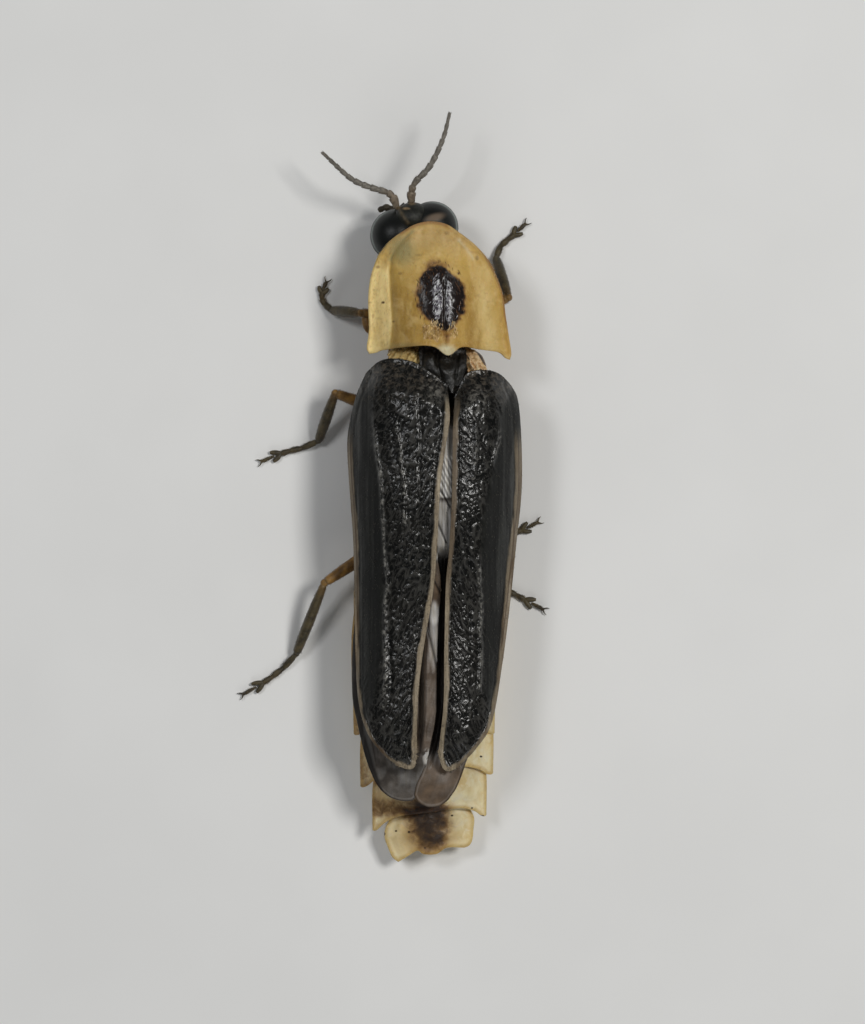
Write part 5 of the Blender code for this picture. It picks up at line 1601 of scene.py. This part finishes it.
def ring_plate(shape, start, end, centre, half, lean):
    """One ring's back plate, with hind corners drawn back into lobes."""

    def spread(share, y):
        return (centre + half * share, y + lean * share)

    def side_edge(sign):
        places = (start, blend(start, end, 0.5), end + LOBE_BACK)
        return [spread(sign * share, y) for share, y in zip(SIDE_SHARES, places)]

    def hind_edge(sign):
        return [spread(sign * share, end + back) for share, back in HIND_EDGE]

    left = side_edge(1)
    right = side_edge(-1)
    front = [left[0], spread(0.0, start), right[0]]
    rear = [left[-1], *hind_edge(1), spread(0.0, end), *reversed(hind_edge(-1)), right[-1]]
    plan = patch(left, right, front, rear, PLATE_ROWS, PLATE_COLUMNS)
    s, t = shares(PLATE_ROWS, PLATE_COLUMNS)
    y = plan[..., 1]
    crest = back_high(y) - 0.18 + 0.13 * s
    margin = np.maximum(0.98, belly_low(y) + 0.45) + 0.05 * s
    z = crest - (crest - margin) * np.abs(2.0 * t - 1.0) ** 1.9
    points = raised(plan, z)
    edge = open_rim(plan)
    points[..., 2] += 0.035 * layered(points, 0.7, 3, 90) + 0.02 * ridge(edge, 0.06, 0.06)
    points[..., 2] -= 0.04 * ridge(edge, 0.26, 0.12)
    cream_sheet(shape, points, edge)


def belly_seams(points):
    """Seams between the belly's plates."""
    seams = np.max([ridge(points[..., 1], end, 0.05) for end in BELLY_SEAMS], axis=0)
    return -0.05 * seams * (points[..., 2] < 1.0)


def abdomen():
    """The abdomen: back plates with side lobes, a soft core and flat belly plates."""
    material = cream_look()
    shape = Shape()
    sections = [
        (2.20, -1.36, 1.30, 1.55, 2.20), (3.00, -1.34, 1.66, 1.05, 2.12), (4.20, -1.22, 1.90, 0.12, 2.06),
        (5.60, -1.13, 2.00, 0.02, 2.06), (8.40, -1.14, 1.92, 0.02, 2.02), (9.90, -1.28, 1.60, 0.04, 1.78),
        (10.80, -1.36, 1.36, 0.10, 1.50),
    ]
    add_barrel(shape, sections, 220, 90, fullness=2.4, rough=0.012, dent=belly_seams)
    start = FIRST_RING
    for end, centre, half in RINGS:
        ring_plate(shape, start, end, centre, half, 0.26 * float(ease(end, 7.5, 10.0)))
        start = end - RING_OVERLAP
    shape.build("abdomen_plates", material, "cream", "abdomen")
    shape = Shape()
    left = [(-0.05, 10.95), (0.20, 11.45), (0.22, 11.78), (0.11, 12.10), (-0.03, 12.42), (-0.23, 12.59)]
    right = [(-2.62, 10.75), (-2.78, 11.10), (-2.76, 11.47), (-2.72, 11.84), (-2.62, 12.03), (-2.45, 12.11)]
    front = [left[0], (-1.34, 10.75), right[0]]
    rear = [left[-1], (-0.57, 12.38), (-0.87, 12.20), (-1.10, 12.31), (-1.52, 12.30), (-1.87, 12.10)]
    rear += [right[-1]]
    plan = patch(left, right, front, rear, TAIL_ROWS, TAIL_COLUMNS)
    s, t = shares(TAIL_ROWS, TAIL_COLUMNS)
    z = 1.44 - 0.22 * s - 0.34 * np.abs(2.0 * t - 1.0) ** 2
    points = raised(plan, z)
    edge = open_rim(plan)
    points[..., 2] += 0.045 * layered(points, 0.6, 3, 91) - 0.03 * ridge(edge, 0.25, 0.12)
    cream_sheet(shape, points, edge)
    sections = [
        (10.60, -1.36, 1.20, 0.12, 1.30), (11.10, -1.34, 1.22, 0.14, 1.24), (11.70, -1.30, 1.10, 0.30, 1.12),
        (12.05, -1.28, 0.86, 0.50, 1.02),
    ]
    add_barrel(shape, sections, 50, 60, fullness=2.5, rough=0.012)
    shape.build("pygidium_plate", material, "cream", "pygidium")
    whitish = ((214, 204, 168), (232, 226, 198))
    look = shell_look("lantern_shell", 0.5, 0.4, 0.02, 0.45, 0.35, whitish)
    shape = Shape()
    sections = [
        (8.35, -1.14, 1.72, 0.012, 0.50), (9.00, -1.17, 1.84, 0.012, 0.60), (9.80, -1.25, 1.66, 0.012, 0.60),
        (10.40, -1.32, 1.42, 0.012, 0.60), (11.05, -1.37, 1.12, 0.06, 0.55),
    ]
    add_barrel(shape, sections, 90, 70, fullness=2.8)
    shape.build("lantern_plates", look.material, "lantern", "lantern")


# Stage, light and camera

# Each light's name, place, power, side and colour
LIGHTS = (
    ("window", (-84.0, -34.0, 164.0), 0.172, 40.0, (1.0, 0.985, 0.96)),
    ("fill", (74.0, -52.0, 164.0), 0.070, 40.0, (0.97, 0.98, 1.0)),
    ("back", (-20.0, 170.0, 120.0), 0.050, 100.0, (0.98, 0.99, 1.0)),
)
SKY = (0.93, 0.96, 1.0, 1.0)
SKY_STRENGTH = 0.11
LIGHT_AIM = (-1.3, 0.8, 2.0)
FLOOR_SIZE = 2.0


def floor_look():
    """Plain pale floor."""
    look = Look("floor_surface", 0.2, 0.85)
    cloud = look.span(look.clouds(9.0, 3.0), 0.3, 0.7)
    look.set("Base Color", look.mix(cloud, (0.80, 0.80, 0.785, 1.0), (0.83, 0.83, 0.815, 1.0)))
    return look.material


def linked(name, data):
    """A new object of the scene that holds some data."""
    thing = bpy.data.objects.new(name, data)
    bpy.context.scene.collection.objects.link(thing)
    return thing


def stage():
    """Pale floor, soft window light from the right, a fill and a back light, and the camera."""
    mesh = bpy.data.meshes.new("floor")
    corners = [(x * FLOOR_SIZE, y * FLOOR_SIZE, 0) for x, y in ((-1, -1), (1, -1), (1, 1), (-1, 1))]
    mesh.from_pydata(corners, [], [(0, 1, 2, 3)])
    mesh.materials.append(floor_look())
    linked("floor", mesh)
    world = bpy.data.worlds.new("studio")
    world.use_nodes = True
    background = world.node_tree.nodes["Background"]
    background.inputs["Color"].default_value = SKY
    background.inputs["Strength"].default_value = SKY_STRENGTH
    bpy.context.scene.world = world
    for name, place, power, side, colour in LIGHTS:
        lamp = bpy.data.lights.new(name, "AREA")
        lamp.energy = power
        lamp.size = side * MM
        lamp.color = colour
        holder = linked(name, lamp)
        holder.location = Vector(place) * MM
        aim = Vector(LIGHT_AIM) * MM - holder.location
        holder.rotation_euler = aim.to_track_quat("-Z", "Y").to_euler()
    view = bpy.data.cameras.new("camera")
    view.sensor_fit = "VERTICAL"
    view.sensor_height = SENSOR
    view.sensor_width = SENSOR
    view.lens = SENSOR * CAMERA_DISTANCE / (FRAME_HEIGHT / PIXELS_PER_MM)
    view.clip_start = 0.005
    view.clip_end = 10.0
    camera = linked("camera", view)
    camera.location = Vector((*CAMERA_CENTRE, CAMERA_PLANE + CAMERA_DISTANCE)) * MM
    camera.rotation_euler = (0.0, 0.0, math.pi)
    bpy.context.scene.camera = camera
    bpy.context.scene.view_settings.view_transform = "Standard"


stage()
elytra()
hind_wings()
pronotum()
head()
feeler_skin = feeler_look()
feeler_hair = hair_look("feeler_hair", (84, 78, 68), (138, 130, 118), 0.5)
antenna("left", ANTENNA_LEFT, feeler_skin, feeler_hair)
antenna("right", ANTENNA_RIGHT, feeler_skin, feeler_hair)
leg_skin = leg_look()
leg_hair = hair_look("leg_hair", (58, 46, 26), (104, 84, 52), 0.5)
for leg_name in LEGS:
    leg(leg_name, leg_skin, leg_hair)
thorax()
scutellum()
abdomen()
